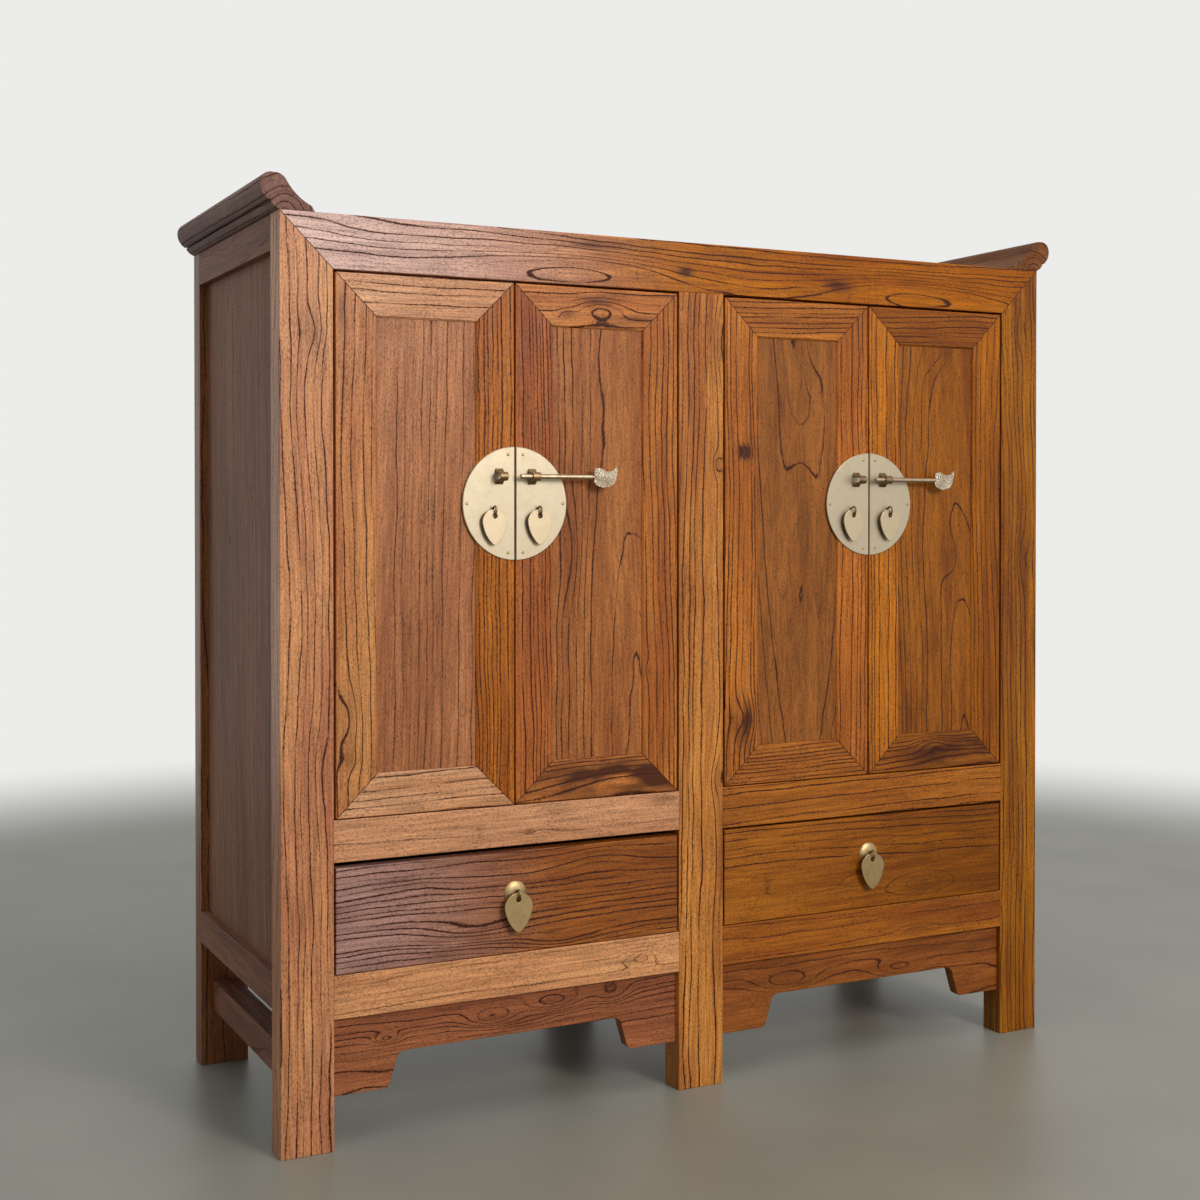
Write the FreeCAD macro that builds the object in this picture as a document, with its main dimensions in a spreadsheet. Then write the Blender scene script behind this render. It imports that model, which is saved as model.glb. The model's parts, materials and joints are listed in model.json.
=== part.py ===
import FreeCAD, Part
import os
import re
import Sketcher

# Storage cabinet of elm with two bays, each with a pair of doors over a drawer
# X runs to the right along the front, Y from front to back, Z up from the floor
# Lengths are in millimetres

# Driving sizes

SIZES = {
    # carcass
    "body_width": 1150,  # over the outer faces of the corner posts
    "body_depth": 420,  # from the front faces to the back faces of the posts
    "front_height": 1126,  # floor to the top edge of the top rail
    "post_width": 66,  # corner posts, seen from the front
    "centre_post_width": 68,
    "post_depth": 38,  # front posts and the rails between them, front to back
    "rear_post_depth": 32,
    "top_rail_height": 66,
    "middle_rail_height": 55,  # right bay, between doors and drawer
    "left_rail_trim": 4,  # the left bay's middle rail is this much slimmer below
    "drawer_opening_height": 132,
    "bottom_rail_height": 53,
    "apron_height": 95,  # at its ends
    "foot_clear": 63.5,  # floor to the apron's lower edge at its ends
    "apron_thickness": 16,
    "apron_setback": 8,
    "arch_rise": 43.5,
    "spandrel_width": 94,  # from the post to where the arch is level
    # sides
    "side_top_rail_height": 44,
    "side_rail_thickness": 26,
    "side_bottom_rail_height": 43.5,
    "side_rail_clear": 171,  # floor to the side's bottom rail
    "stretcher_clear": 76,  # floor to the stretcher
    "stretcher_height": 41,
    "stretcher_thickness": 32,
    "side_panel_recess": 11,
    "side_panel_thickness": 9,
    "groove_depth": 7,
    # top and everted flanges
    "top_panel_thickness": 16,
    "flange_rise": 43,
    "flange_overhang": 23,
    "flange_foot": 44,  # inwards from the side of the cabinet
    # back and inside
    "back_panel_thickness": 10,
    "back_rebate": 8,
    "back_rail_height": 53,
    "partition_thickness": 18,
    "floor_thickness": 12,
    "shelf_thickness": 16,
    "shelf_rise": 310,  # cupboard floor to the shelf's underside
    "shelf_setback": 24,  # behind the back of the front posts
    "batten_height": 20,
    "batten_width": 18,
    "runner_ledge": 10,  # a runner reaches this far inside the drawer side
    "stop_width": 120,
    "stop_height": 12,
    # doors
    "door_thickness": 22,
    "door_member": 52,  # width of the stiles and rails
    "door_side_gap": 3,
    "door_meeting_gap": 2,
    "door_top_gap": 3,
    "door_bottom_gap": 1.5,
    "panel_recess": 2.5,  # panel face behind the door frame's face
    "panel_thickness": 12,
    "tongue_thickness": 6,
    "panel_slit": 0.3,  # between the panel's raised field and the frame
    "inner_bevel": 2,
    "pivot_radius": 4,
    "pivot_inset": 20,  # pivot axis from the door's outer edge
    "pivot_reach": 9,  # length that stands out of the door
    "pivot_grip": 30,  # length inside the door
    # drawers
    "drawer_side_gap": 2.5,
    "drawer_top_gap": 3,
    "drawer_bottom_gap": 1,
    "drawer_front_thickness": 20,
    "drawer_side_inset": 6,  # drawer side behind the front's end
    "drawer_side_thickness": 12,
    "drawer_side_drop": 20,  # drawer side below the front's upper edge
    "drawer_side_lift": 4,  # drawer side above the front's lower edge
    "drawer_back_space": 26,  # drawer to back panel
    "drawer_bottom_thickness": 7,
    "drawer_bottom_lift": 8,  # drawer bottom above the sides' lower edge
    # brass face plates
    "plate_radius": 71.5,
    "plate_thickness": 1.6,
    "plate_bevel": 0.8,
    "plate_rise": 51,  # plate centre above the middle of the door
    "nail_inset": 10.2,
    "nail_rim_gap": 9.8,  # rim of the plate to the upper and lower nails, along the upright
    "nail_end_gap": 5.5,  # rim of the plate to the outer nail
    "nail_head_radius": 2.1,
    "nail_crown_radius": 1.2,
    "nail_head_height": 0.9,
    "nail_shank_radius": 0.8,
    "nail_length": 11,
    # bolt and its guides
    "bolt_radius": 3.1,
    "bolt_lift": 34,  # bolt axis above the plate's centre
    "bolt_stand": 14.5,  # bolt axis in front of the door's face
    "bolt_home_reach": 64.5,  # tip beyond the meeting line when the bolt is home
    "bolt_clear": 1.5,  # tip to the meeting line when the bolt is drawn
    "guide_radius": 5.6,
    "guide_length": 11,
    "guide_offset": 17,  # from the meeting line
    "guide_foot": 10.2,  # half height where it meets the plate
    "guide_wall": 2.4,
    "leaf_gap": 7,  # leaf to guide when the bolt is home
    "leaf_length": 37,
    "leaf_height": 27,
    "leaf_thickness": 2.4,
    # pulls and their eyes
    "eye_radius": 5,  # centre line of the wire loop
    "eye_wire": 1.3,
    "eye_shank_radius": 1.5,
    "eye_offset": 31,  # from the meeting line
    "eye_drop": 8.5,  # loop centre below the plate's centre
    "clinch_length": 16,
    "clinch_thickness": 1.4,
    "pull_width": 33,
    "pull_height": 44.5,
    "drawer_pull_width": 38,
    "drawer_pull_height": 49.5,
    "pull_thickness": 2,
    "pull_bevel": 0.5,
    "pull_hole_radius": 3.4,
    "pull_hole_drop": 7.9,  # hole centre below the pull's top
    "rosette_radius": 15.2,
    "rosette_height": 4.5,
    "rosette_rise": 12,  # above the middle of the drawer front
    # fits and eased edges
    "running_clearance": 0.08,  # a pivot in its socket and a bolt in its guide
    "seat_gap": 0.3,
    "edge_ease": 1.2,
    "joint_bevel": 0.35,
}

TOLERANCE = 1e-4

doc = FreeCAD.newDocument("storage_cabinet")
sheet = doc.addObject("Spreadsheet::Sheet", "Sizes")
for row, (name, number) in enumerate(SIZES.items(), start=1):
    sheet.set(f"A{row}", name)
    sheet.set(f"B{row}", str(number))
    sheet.setAlias(f"B{row}", name)
doc.recompute()

# Derived places, as formulas of the driving sizes

OPENING = "((body_width - 2 * post_width - centre_post_width) / 2)"
BAY = f"(({OPENING} + centre_post_width) / 2)"
FRONT = "(-(body_depth - bolt_stand - guide_radius) / 2)"
REAR_POST = "(body_depth - rear_post_depth)"
SIDE_INNER = "(body_width / 2 - side_panel_recess - side_panel_thickness)"

APRON_TOP = "(foot_clear + apron_height)"
DRAWER_SILL = f"({APRON_TOP} + bottom_rail_height)"
RAIL_UNDER = f"({DRAWER_SILL} + drawer_opening_height)"
DOOR_SILL = f"({RAIL_UNDER} + middle_rail_height)"
DOOR_HEAD = "(front_height - top_rail_height)"
SIDE_HEAD = "(front_height - side_top_rail_height)"
SIDE_SILL = "(side_rail_clear + side_bottom_rail_height)"
TOP_UNDER = "(front_height - top_panel_thickness)"

DOOR_IN = "(door_meeting_gap / 2)"
DOOR_OUT = f"({OPENING} / 2 - door_side_gap)"
DOOR_LOW = f"({DOOR_SILL} + door_bottom_gap)"
DOOR_HIGH = f"({DOOR_HEAD} - door_top_gap)"
FIELD_IN = f"({DOOR_IN} + door_member)"
FIELD_OUT = f"({DOOR_OUT} - door_member)"
FIELD_LOW = f"({DOOR_LOW} + door_member)"
FIELD_HIGH = f"({DOOR_HIGH} - door_member)"
TONGUE_FRONT = "(panel_recess + (panel_thickness - tongue_thickness) / 2)"
PIVOT = f"({DOOR_OUT} - pivot_inset)"
PIVOT_BACK = "(door_thickness / 2)"

PLATE_UP = f"(({DOOR_LOW} + {DOOR_HIGH}) / 2 + plate_rise)"
BOLT_UP = f"({PLATE_UP} + bolt_lift)"
EYE_UP = f"({PLATE_UP} - eye_drop)"
EYE_STAND = "(plate_thickness + eye_radius + eye_wire + seat_gap / 3)"

BOLT_DRAW = "(bolt_home_reach + bolt_clear)"
LEAF_START = "(guide_offset + guide_length + leaf_gap)"

DRAWER_LOW = f"({DRAWER_SILL} + drawer_bottom_gap)"
DRAWER_HIGH = f"({RAIL_UNDER} - drawer_top_gap)"
DRAWER_HALF = f"({OPENING} / 2 - drawer_side_gap)"
DRAWER_SIDE_LOW = f"({DRAWER_LOW} + drawer_side_lift)"
DRAWER_SIDE_HIGH = f"({DRAWER_HIGH} - drawer_side_drop)"
DRAWER_BACK = f"({REAR_POST} - drawer_back_space)"
DRAWER_SIDE_OUT = f"({DRAWER_HALF} - drawer_side_inset)"
DRAWER_SIDE_IN = f"({DRAWER_SIDE_OUT} - drawer_side_thickness)"
RUNNER_TOP = f"({DRAWER_SIDE_LOW} - seat_gap)"
ROSETTE_UP = f"(({DRAWER_LOW} + {DRAWER_HIGH}) / 2 + rosette_rise)"
ROSETTE_EYE_STAND = "(rosette_height + eye_radius + eye_wire)"

# Outlines as shares of a piece's own width and height

# roll and bead of a flange: across from its outermost edge, up from its foot
FLANGE_SHARES = [
    (0.344, 0.0),
    (0.174, 0.229, 0.242, 0.091),
    (0.0, 0.674, 0.047, 0.41),
    (0.245, 1.0, 0.069, 0.925),
    (0.477, 0.832, 0.381, 0.965),
    (0.945, 0.151, 0.655, 0.465),
    (1.0, 0.0),
]
# half of a pointed drop: across from its centre line, down from its top
PULL_SHARES = [
    (0.0, 0.0),
    (1.0, 0.37, 0.72, 0.094),
    (0.2, 0.965, 0.78, 0.66),
    (0.0, 1.0),
]
# leaf at the end of a bolt: along from its root, up from the bolt's axis
LEAF_SHARES = [
    (0.0, 0.08),
    (0.257, 0.43, 0.078, 0.326),
    (0.43, 0.355, 0.35, 0.412),
    (0.965, 0.522, 0.68, 0.272),
    (0.94, 0.012, 0.99, 0.29),
    (0.605, -0.459, 0.82, -0.33),
    (0.0, -0.08, 0.19, -0.38),
]
# dome of a rosette: out from its middle, up from its rim
DOME_SHARES = (0.707, 0.52)
# end of an apron: in from its post, up from its lower edge
SPANDREL_SHARES = [
    (0.725, 0.0),
    (0.775, 0.08),
    (0.865, 0.71),
]


def cells(text):
    """A formula with each size pointed at its cell of the sheet."""
    return re.sub(
        r"[a-z_]+",
        lambda found: "Sizes." + found.group() if found.group() in SIZES else found.group(),
        str(text),
    )


def measure(text):
    return float(sheet.evalExpression(cells(text)))


def pin(sketch, shape, end, across, up):
    """Hold one point of a sketch at a place given by two formulas."""
    for kind, axis, text in (("DistanceX", -2, across), ("DistanceY", -1, up)):
        if text == "0":
            sketch.addConstraint(Sketcher.Constraint("PointOnObject", shape, end, axis))
            continue
        place = sketch.addConstraint(Sketcher.Constraint(kind, -1, 1, shape, end, measure(text)))
        sketch.setExpression(f"Constraints[{place}]", cells(text))


def flat(across, up):
    return FreeCAD.Vector(measure(across), measure(up), 0)


def draw(sketch, corners):
    """Closed outline. A corner with four formulas is reached by an arc through the last two."""
    ends = []
    for here, corner in enumerate(corners):
        before = corners[here - 1]
        start = flat(before[0], before[1])
        finish = flat(corner[0], corner[1])
        if len(corner) == 4:
            curve = Part.Arc(start, flat(corner[2], corner[3]), finish)
            shape = sketch.addGeometry(curve, False)
            forward = sketch.getPoint(shape, 1).distanceToPoint(start) < sketch.getPoint(
                shape, 2
            ).distanceToPoint(start)
            ends.append((shape, 1, 2) if forward else (shape, 2, 1))
            bulge = sketch.addGeometry(Part.Point(flat(corner[2], corner[3])), True)
            sketch.addConstraint(Sketcher.Constraint("PointOnObject", bulge, 1, shape))
            pin(sketch, bulge, 1, corner[2], corner[3])
        else:
            shape = sketch.addGeometry(Part.LineSegment(start, finish), False)
            ends.append((shape, 1, 2))
    for here, corner in enumerate(corners):
        shape, _, finish = ends[here]
        after, start, _ = ends[(here + 1) % len(corners)]
        sketch.addConstraint(Sketcher.Constraint("Coincident", shape, finish, after, start))
        pin(sketch, shape, finish, corner[0], corner[1])


def box(left, right, low, high):
    """Corners of a rectangle."""
    return [(left, low), (right, low), (right, high), (left, high)]


def new_sketch(body, plane, level):
    """Sketch parallel to one of the body's origin planes, at a level along that plane's axis."""
    sketch = body.newObject("Sketcher::SketchObject", body.Name + "_sketch")
    base = next(item for item in body.Origin.OriginFeatures if item.Role == plane + "_Plane")
    sketch.AttachmentSupport = [(base, "")]
    sketch.MapMode = "FlatFace"
    sketch.setExpression("AttachmentOffset.Base.z", cells(level))
    return sketch


def new_body(label, bay="0"):
    """Empty body placed in a bay, with its own Y measured from the cabinet's front."""
    body = doc.addObject("PartDesign::Body", label)
    body.Label = label
    place(body, bay, FRONT, "0")
    return body


def place(item, across, deep, up):
    for axis, text in (("x", across), ("y", deep), ("z", up)):
        item.setExpression(f"Placement.Base.{axis}", cells(text))


def build_on(body, plane, corners, low, high):
    """Pad an outline from low to high along the axis square to the plane."""
    level = f"-({high})" if plane == "XZ" else low
    sketch = new_sketch(body, plane, level)
    draw(sketch, corners)
    pad = body.newObject("PartDesign::Pad", body.Name + "_pad")
    pad.Profile = sketch
    pad.setExpression("Length", cells(f"({high}) - ({low})"))
    doc.recompute()
    return pad


def finish_cut(body, sketch, low, high):
    before = body.Shape.Volume
    pocket = body.newObject("PartDesign::Pocket", body.Name + "_cut")
    pocket.Profile = sketch
    pocket.setExpression("Length", cells(f"({high}) - ({low})"))
    doc.recompute()
    if body.Shape.Volume >= before:
        raise RuntimeError(f"a cut in {body.Label} removes nothing")
    return pocket


def cut_from(body, plane, corners, low, high):
    """Pocket an outline between low and high along the axis square to the plane."""
    level = f"-({low})" if plane == "XZ" else high
    sketch = new_sketch(body, plane, level)
    draw(sketch, corners)
    return finish_cut(body, sketch, low, high)


def drill(body, plane, holes, radius, low, high):
    """Round holes at places given by pairs of formulas."""
    level = f"-({low})" if plane == "XZ" else high
    sketch = new_sketch(body, plane, level)
    for across, up in holes:
        circle = Part.Circle(flat(across, up), FreeCAD.Vector(0, 0, 1), measure(radius))
        shape = sketch.addGeometry(circle, False)
        pin(sketch, shape, 3, across, up)
        place_of = sketch.addConstraint(Sketcher.Constraint("Radius", shape, measure(radius)))
        sketch.setExpression(f"Constraints[{place_of}]", cells(radius))
    return finish_cut(body, sketch, low, high)


def heads(edge):
    return [vertex.Point for vertex in edge.Vertexes]


def is_along(edge, axis):
    """True for a straight edge parallel to the X, Y or Z axis."""
    if len(edge.Vertexes) < 2 or not isinstance(edge.Curve, Part.Line):
        return False
    run = edge.Vertexes[1].Point - edge.Vertexes[0].Point
    unit = {"X": FreeCAD.Vector(1, 0, 0), "Y": FreeCAD.Vector(0, 1, 0), "Z": FreeCAD.Vector(0, 0, 1)}
    return abs(run.dot(unit[axis])) > (1 - 1e-6) * run.Length


def lies_at(edge, axis, text):
    """True for an edge whose ends both lie at one level of an axis."""
    level = measure(text)
    return all(abs(getattr(point, axis) - level) < TOLERANCE for point in heads(edge))


def is_front_mitre(edge):
    """True for a slanting edge in the plane of the cabinet's front."""
    slanting = isinstance(edge.Curve, Part.Line) and not is_along(edge, "X") and not is_along(edge, "Z")
    return slanting and lies_at(edge, "y", "0")


def soften(body, kind, size, chosen):
    """Fillet or chamfer the edges that a test picks."""
    tip = body.Tip
    names = [f"Edge{n}" for n, edge in enumerate(tip.Shape.Edges, start=1) if chosen(edge)]
    if not names:
        raise RuntimeError(f"no edges to soften on {body.Label}")
    feature = body.newObject("PartDesign::" + kind, body.Name + "_" + kind.lower())
    feature.Base = (tip, names)
    feature.setExpression("Radius" if kind == "Fillet" else "Size", cells(size))
    doc.recompute()
    return feature


def board(label, across, deep, up, bay="0"):
    """Plain board between pairs of formulas along each axis."""
    item = doc.addObject("Part::Box", label)
    item.Label = label
    for name, (low, high) in (("Length", across), ("Width", deep), ("Height", up)):
        item.setExpression(name, cells(f"({high}) - ({low})"))
    place(item, f"({bay}) + ({across[0]})", f"{FRONT} + ({deep[0]})", up[0])
    return item


def group(label, items):
    """Several separate solids that share one node."""
    doc.recompute()
    item = doc.addObject("Part::Compound", label)
    item.Label = label
    item.Links = items
    return item


def fuse(label, items):
    item = doc.addObject("Part::MultiFuse", label)
    item.Label = label
    item.Shapes = items
    return item


def mirrored(sign, text):
    """A formula counted to the left for -1 and to the right for 1."""
    return text if sign > 0 else f"-({text})"


def hand(sign, corners):
    """An outline with every place across counted to the left for -1."""
    return [
        tuple(mirrored(sign, text) if spot % 2 == 0 else text for spot, text in enumerate(corner))
        for corner in corners
    ]


def span(sign, near, far):
    """Low and high formulas of a stretch that lies to one side of the centre."""
    return (near, far) if sign > 0 else (f"-({far})", f"-({near})")


nodes = []

# Posts

SIDE = "(body_width / 2)"
SIDE_FACE_IN = f"({SIDE} - side_panel_recess)"
BACK_SEAT = f"({REAR_POST} + back_panel_thickness)"


def front_corner_post(label, sign):
    """Corner post, mitred at its top into the top rail, grooved behind for the side panel."""
    body = new_body(label)
    inner = f"({SIDE} - post_width)"
    profile = [(SIDE, "0"), (SIDE, "front_height"), (inner, DOOR_HEAD), (inner, "0")]
    build_on(body, "XZ", hand(sign, profile), "0", "post_depth")
    soften(body, "Chamfer", "joint_bevel", is_front_mitre)
    soften(body, "Fillet", "edge_ease", lambda edge: is_along(edge, "Z") or lies_at(edge, "z", "0"))
    groove = hand(sign, box(SIDE_INNER, SIDE_FACE_IN, "post_depth - groove_depth", "post_depth"))
    low, high = f"{SIDE_SILL} - groove_depth", f"{SIDE_HEAD} + groove_depth"
    cut_from(body, "XY", groove, low, high)
    return body


def rear_corner_post(label, sign):
    """Corner post, grooved in front for the side panel and rebated for the back panel."""
    body = new_body(label)
    inner = f"({SIDE} - post_width)"
    profile = hand(sign, box(inner, SIDE, REAR_POST, "body_depth"))
    build_on(body, "XY", profile, "0", "front_height")
    soften(body, "Fillet", "edge_ease", lambda edge: is_along(edge, "Z") or lies_at(edge, "z", "0"))
    groove = hand(sign, box(SIDE_INNER, SIDE_FACE_IN, REAR_POST, f"{REAR_POST} + groove_depth"))
    low, high = f"{SIDE_SILL} - groove_depth", f"{SIDE_HEAD} + groove_depth"
    cut_from(body, "XY", groove, low, high)
    rebate = hand(sign, box(inner, f"{inner} + back_rebate", REAR_POST, BACK_SEAT))
    cut_from(body, "XY", rebate, BACK_LOW, BACK_HIGH)
    return body


BACK_SILL = f"({APRON_TOP} + back_rail_height)"
BACK_LOW = f"({BACK_SILL} - back_rebate)"
BACK_HIGH = f"({SIDE_HEAD} + back_rebate)"

nodes.append(front_corner_post("front_left_post", -1))
nodes.append(front_corner_post("front_right_post", 1))

centre_post = new_body("front_centre_post")
centre_half = "(centre_post_width / 2)"
centre_outline = box(f"-{centre_half}", centre_half, "0", DOOR_HEAD)
build_on(centre_post, "XZ", centre_outline, "0", "post_depth")
soften(
    centre_post,
    "Fillet",
    "edge_ease",
    lambda edge: is_along(edge, "Z") or lies_at(edge, "z", "0"),
)
nodes.append(centre_post)

nodes.append(rear_corner_post("rear_left_post", -1))
nodes.append(rear_corner_post("rear_right_post", 1))

rear_centre = new_body("rear_centre_post")
rear_outline = box(f"-{centre_half}", centre_half, REAR_POST, "body_depth")
build_on(rear_centre, "XY", rear_outline, "0", SIDE_HEAD)
soften(
    rear_centre,
    "Fillet",
    "edge_ease",
    lambda edge: is_along(edge, "Z") or lies_at(edge, "z", "0"),
)
for sign in (-1, 1):
    rebate = hand(sign, box(f"{centre_half} - back_rebate", centre_half, REAR_POST, BACK_SEAT))
    cut_from(rear_centre, "XY", rebate, BACK_LOW, SIDE_HEAD)
nodes.append(rear_centre)

# Rails of the front

top_rail = new_body("top_front_rail")
top_outline = [
    (f"-{SIDE}", "front_height"),
    (SIDE, "front_height"),
    (f"{SIDE} - post_width", DOOR_HEAD),
    (f"-({SIDE} - post_width)", DOOR_HEAD),
]
build_on(top_rail, "XZ", top_outline, "0", "post_depth")
soften(top_rail, "Chamfer", "joint_bevel", is_front_mitre)
soften(top_rail, "Fillet", "edge_ease", lambda edge: is_along(edge, "X"))
socket_holes = [
    (f"{bay} + {pivot}", PIVOT_BACK)
    for bay in (f"-{BAY}", BAY)
    for pivot in (f"-{PIVOT}", PIVOT)
]
drill(
    top_rail,
    "XY",
    socket_holes,
    "pivot_radius + running_clearance",
    DOOR_HEAD,
    f"{DOOR_HIGH} + pivot_reach + seat_gap",
)
nodes.append(top_rail)


def front_rail(label, bay, low, high):
    """Rail between two posts, with its front edges eased."""
    body = new_body(label, bay)
    outline = box(f"-{OPENING} / 2", f"{OPENING} / 2", low, high)
    build_on(body, "XZ", outline, "0", "post_depth")
    soften(body, "Fillet", "edge_ease", lambda edge: is_along(edge, "X"))
    return body


for side, sign, trim in (("left", -1, "left_rail_trim"), ("right", 1, "0")):
    bay = mirrored(sign, BAY)
    rail = front_rail(side + "_middle_rail", bay, f"{RAIL_UNDER} + {trim}", DOOR_SILL)
    drill(
        rail,
        "XY",
        [(f"-{PIVOT}", PIVOT_BACK), (PIVOT, PIVOT_BACK)],
        "pivot_radius + running_clearance",
        f"{DOOR_LOW} - pivot_reach - seat_gap",
        DOOR_SILL,
    )
    nodes.append(rail)

bottom_rails = [
    front_rail(f"bottom_rail_{side}", mirrored(sign, BAY), APRON_TOP, DRAWER_SILL)
    for side, sign in (("left", -1), ("right", 1))
]
nodes.append(group("bottom_rails", bottom_rails))


def apron(label, bay):
    """Thin board under the bottom rail with a level arch between two shaped spandrels."""
    body = new_body(label, bay)
    half = f"({OPENING} / 2)"

    def spot(share, rise):
        return f"{half} - spandrel_width * {share}", f"foot_clear + arch_rise * {rise}"

    run = f"(spandrel_width * (1 - {SPANDREL_SHARES[-1][0]}))"
    rise = f"(arch_rise * (1 - {SPANDREL_SHARES[-1][1]}))"
    bend = f"(({run} * {run} + {rise} * {rise}) / (2 * {rise}))"
    top_across, top_up = spot("1", "1")
    bulge = (f"{top_across} + {bend} * sqrt(0.5)", f"{top_up} - {bend} * (1 - sqrt(0.5))")
    right = [(half, "foot_clear")]
    right += [spot(*shares) for shares in SPANDREL_SHARES]
    right.append((top_across, top_up) + bulge)
    left = []
    for here in range(len(right) - 1, -1, -1):
        arc = right[here + 1] if here + 1 < len(right) and len(right[here + 1]) == 4 else None
        corner = (f"-({right[here][0]})", right[here][1])
        left.append(corner + ((f"-({arc[2]})", arc[3]) if arc else ()))
    outline = right + left + [(f"-{half}", APRON_TOP), (half, APRON_TOP)]
    build_on(body, "XZ", outline, "apron_setback", "apron_setback + apron_thickness")
    soften(
        body,
        "Fillet",
        "edge_ease",
        lambda edge: lies_at(edge, "y", "apron_setback")
        and not lies_at(edge, "z", APRON_TOP)
        and not is_along(edge, "Z"),
    )
    return body


nodes.append(group("aprons", [apron("apron_left", f"-{BAY}"), apron("apron_right", BAY)]))

# Sides

BETWEEN_POSTS = ("post_depth", REAR_POST)


def side_rail(label, sign, thickness, low, high, groove_low, groove_high):
    """Rail between front and rear posts, grooved along one edge for the side panel."""
    body = new_body(label)
    outline = box("post_depth", REAR_POST, low, high)
    build_on(body, "YZ", outline, *span(sign, f"{SIDE} - {thickness}", SIDE))
    soften(body, "Fillet", "edge_ease", lambda edge: is_along(edge, "Y"))
    groove = box("post_depth", REAR_POST, groove_low, groove_high)
    cut_from(body, "YZ", groove, *span(sign, SIDE_INNER, SIDE_FACE_IN))
    return body


side_top_rails = []
side_bottom_rails = []
stretchers = []
for side, sign in (("left", -1), ("right", 1)):
    side_top_rails.append(
        side_rail(
            f"side_top_rail_{side}",
            sign,
            "flange_foot",
            SIDE_HEAD,
            "front_height",
            SIDE_HEAD,
            f"{SIDE_HEAD} + groove_depth",
        )
    )
    side_bottom_rails.append(
        side_rail(
            f"side_bottom_rail_{side}",
            sign,
            "side_rail_thickness",
            "side_rail_clear",
            SIDE_SILL,
            f"{SIDE_SILL} - groove_depth",
            SIDE_SILL,
        )
    )
    stretcher = new_body(f"stretcher_{side}")
    inset = "((post_width - stretcher_thickness) / 2)"
    outline = box("post_depth", REAR_POST, "stretcher_clear", "stretcher_clear + stretcher_height")
    reach = span(sign, f"{SIDE} - {inset} - stretcher_thickness", f"{SIDE} - {inset}")
    build_on(stretcher, "YZ", outline, *reach)
    soften(stretcher, "Fillet", "edge_ease", lambda edge: is_along(edge, "Y"))
    stretchers.append(stretcher)
nodes.append(group("side_top_rails", side_top_rails))
nodes.append(group("side_bottom_rails", side_bottom_rails))
nodes.append(group("side_stretchers", stretchers))

slack = "seat_gap"
for side, sign in (("left", -1), ("right", 1)):
    deep = (f"post_depth - groove_depth + {slack}", f"{REAR_POST} + groove_depth - {slack}")
    up = (f"{SIDE_SILL} - groove_depth + {slack}", f"{SIDE_HEAD} + groove_depth - {slack}")
    across = span(sign, SIDE_INNER, SIDE_FACE_IN)
    nodes.append(board(side + "_side_panel", across, deep, up))

# Top and flanges

TOP_EDGE = f"({SIDE} - flange_foot)"
nodes.append(
    board(
        "top_panel",
        (f"-{TOP_EDGE}", TOP_EDGE),
        ("post_depth", REAR_POST),
        (TOP_UNDER, "front_height"),
    )
)


def flange(label, sign):
    """Everted flange: a roll that overhangs the side, a bead under it and a slope inwards."""
    body = new_body(label)
    width = "(flange_overhang + flange_foot)"

    def spot(share, rise):
        across = f"{SIDE} + flange_overhang - {width} * {share}"
        return mirrored(sign, across), f"front_height + flange_rise * {rise}"

    outline = []
    for shares in FLANGE_SHARES:
        outline.append(spot(*shares[:2]) + (spot(*shares[2:]) if len(shares) == 4 else ()))
    build_on(body, "XZ", outline, "0", "body_depth")
    return body


nodes.append(flange("left_flange", -1))
nodes.append(flange("right_flange", 1))

# Back

back_rails = []
top_back = new_body("back_rail_top")
inner_side = f"({SIDE} - post_width)"
build_on(
    top_back,
    "XZ",
    box(f"-{inner_side}", inner_side, SIDE_HEAD, "front_height"),
    REAR_POST,
    "body_depth",
)
soften(top_back, "Fillet", "edge_ease", lambda edge: is_along(edge, "X"))
cut_from(
    top_back,
    "XZ",
    box(f"-{inner_side}", inner_side, SIDE_HEAD, BACK_HIGH),
    REAR_POST,
    BACK_SEAT,
)
back_rails.append(top_back)
for side, sign in (("left", -1), ("right", 1)):
    rail = new_body(f"back_rail_{side}", mirrored(sign, BAY))
    outline = box(f"-{OPENING} / 2", f"{OPENING} / 2", APRON_TOP, BACK_SILL)
    build_on(rail, "XZ", outline, REAR_POST, "body_depth")
    soften(rail, "Fillet", "edge_ease", lambda edge: is_along(edge, "X"))
    rebate = box(f"-{OPENING} / 2", f"{OPENING} / 2", BACK_LOW, BACK_SILL)
    cut_from(rail, "XZ", rebate, REAR_POST, BACK_SEAT)
    back_rails.append(rail)
nodes.append(group("back_rails", back_rails))

back_reach = f"({OPENING} / 2 + back_rebate - {slack})"
back_panels = [
    board(
        f"back_panel_{side}",
        (f"-{back_reach}", back_reach),
        (REAR_POST, BACK_SEAT),
        (f"{BACK_LOW} + {slack}", f"{BACK_HIGH} - {slack}"),
        mirrored(sign, BAY),
    )
    for side, sign in (("left", -1), ("right", 1))
]
nodes.append(group("back_panels", back_panels))

# Inside

PARTITION = "(partition_thickness / 2)"
nodes.append(
    board(
        "partition",
        (f"-{PARTITION}", PARTITION),
        ("post_depth", REAR_POST),
        (APRON_TOP, TOP_UNDER),
    )
)

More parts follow.
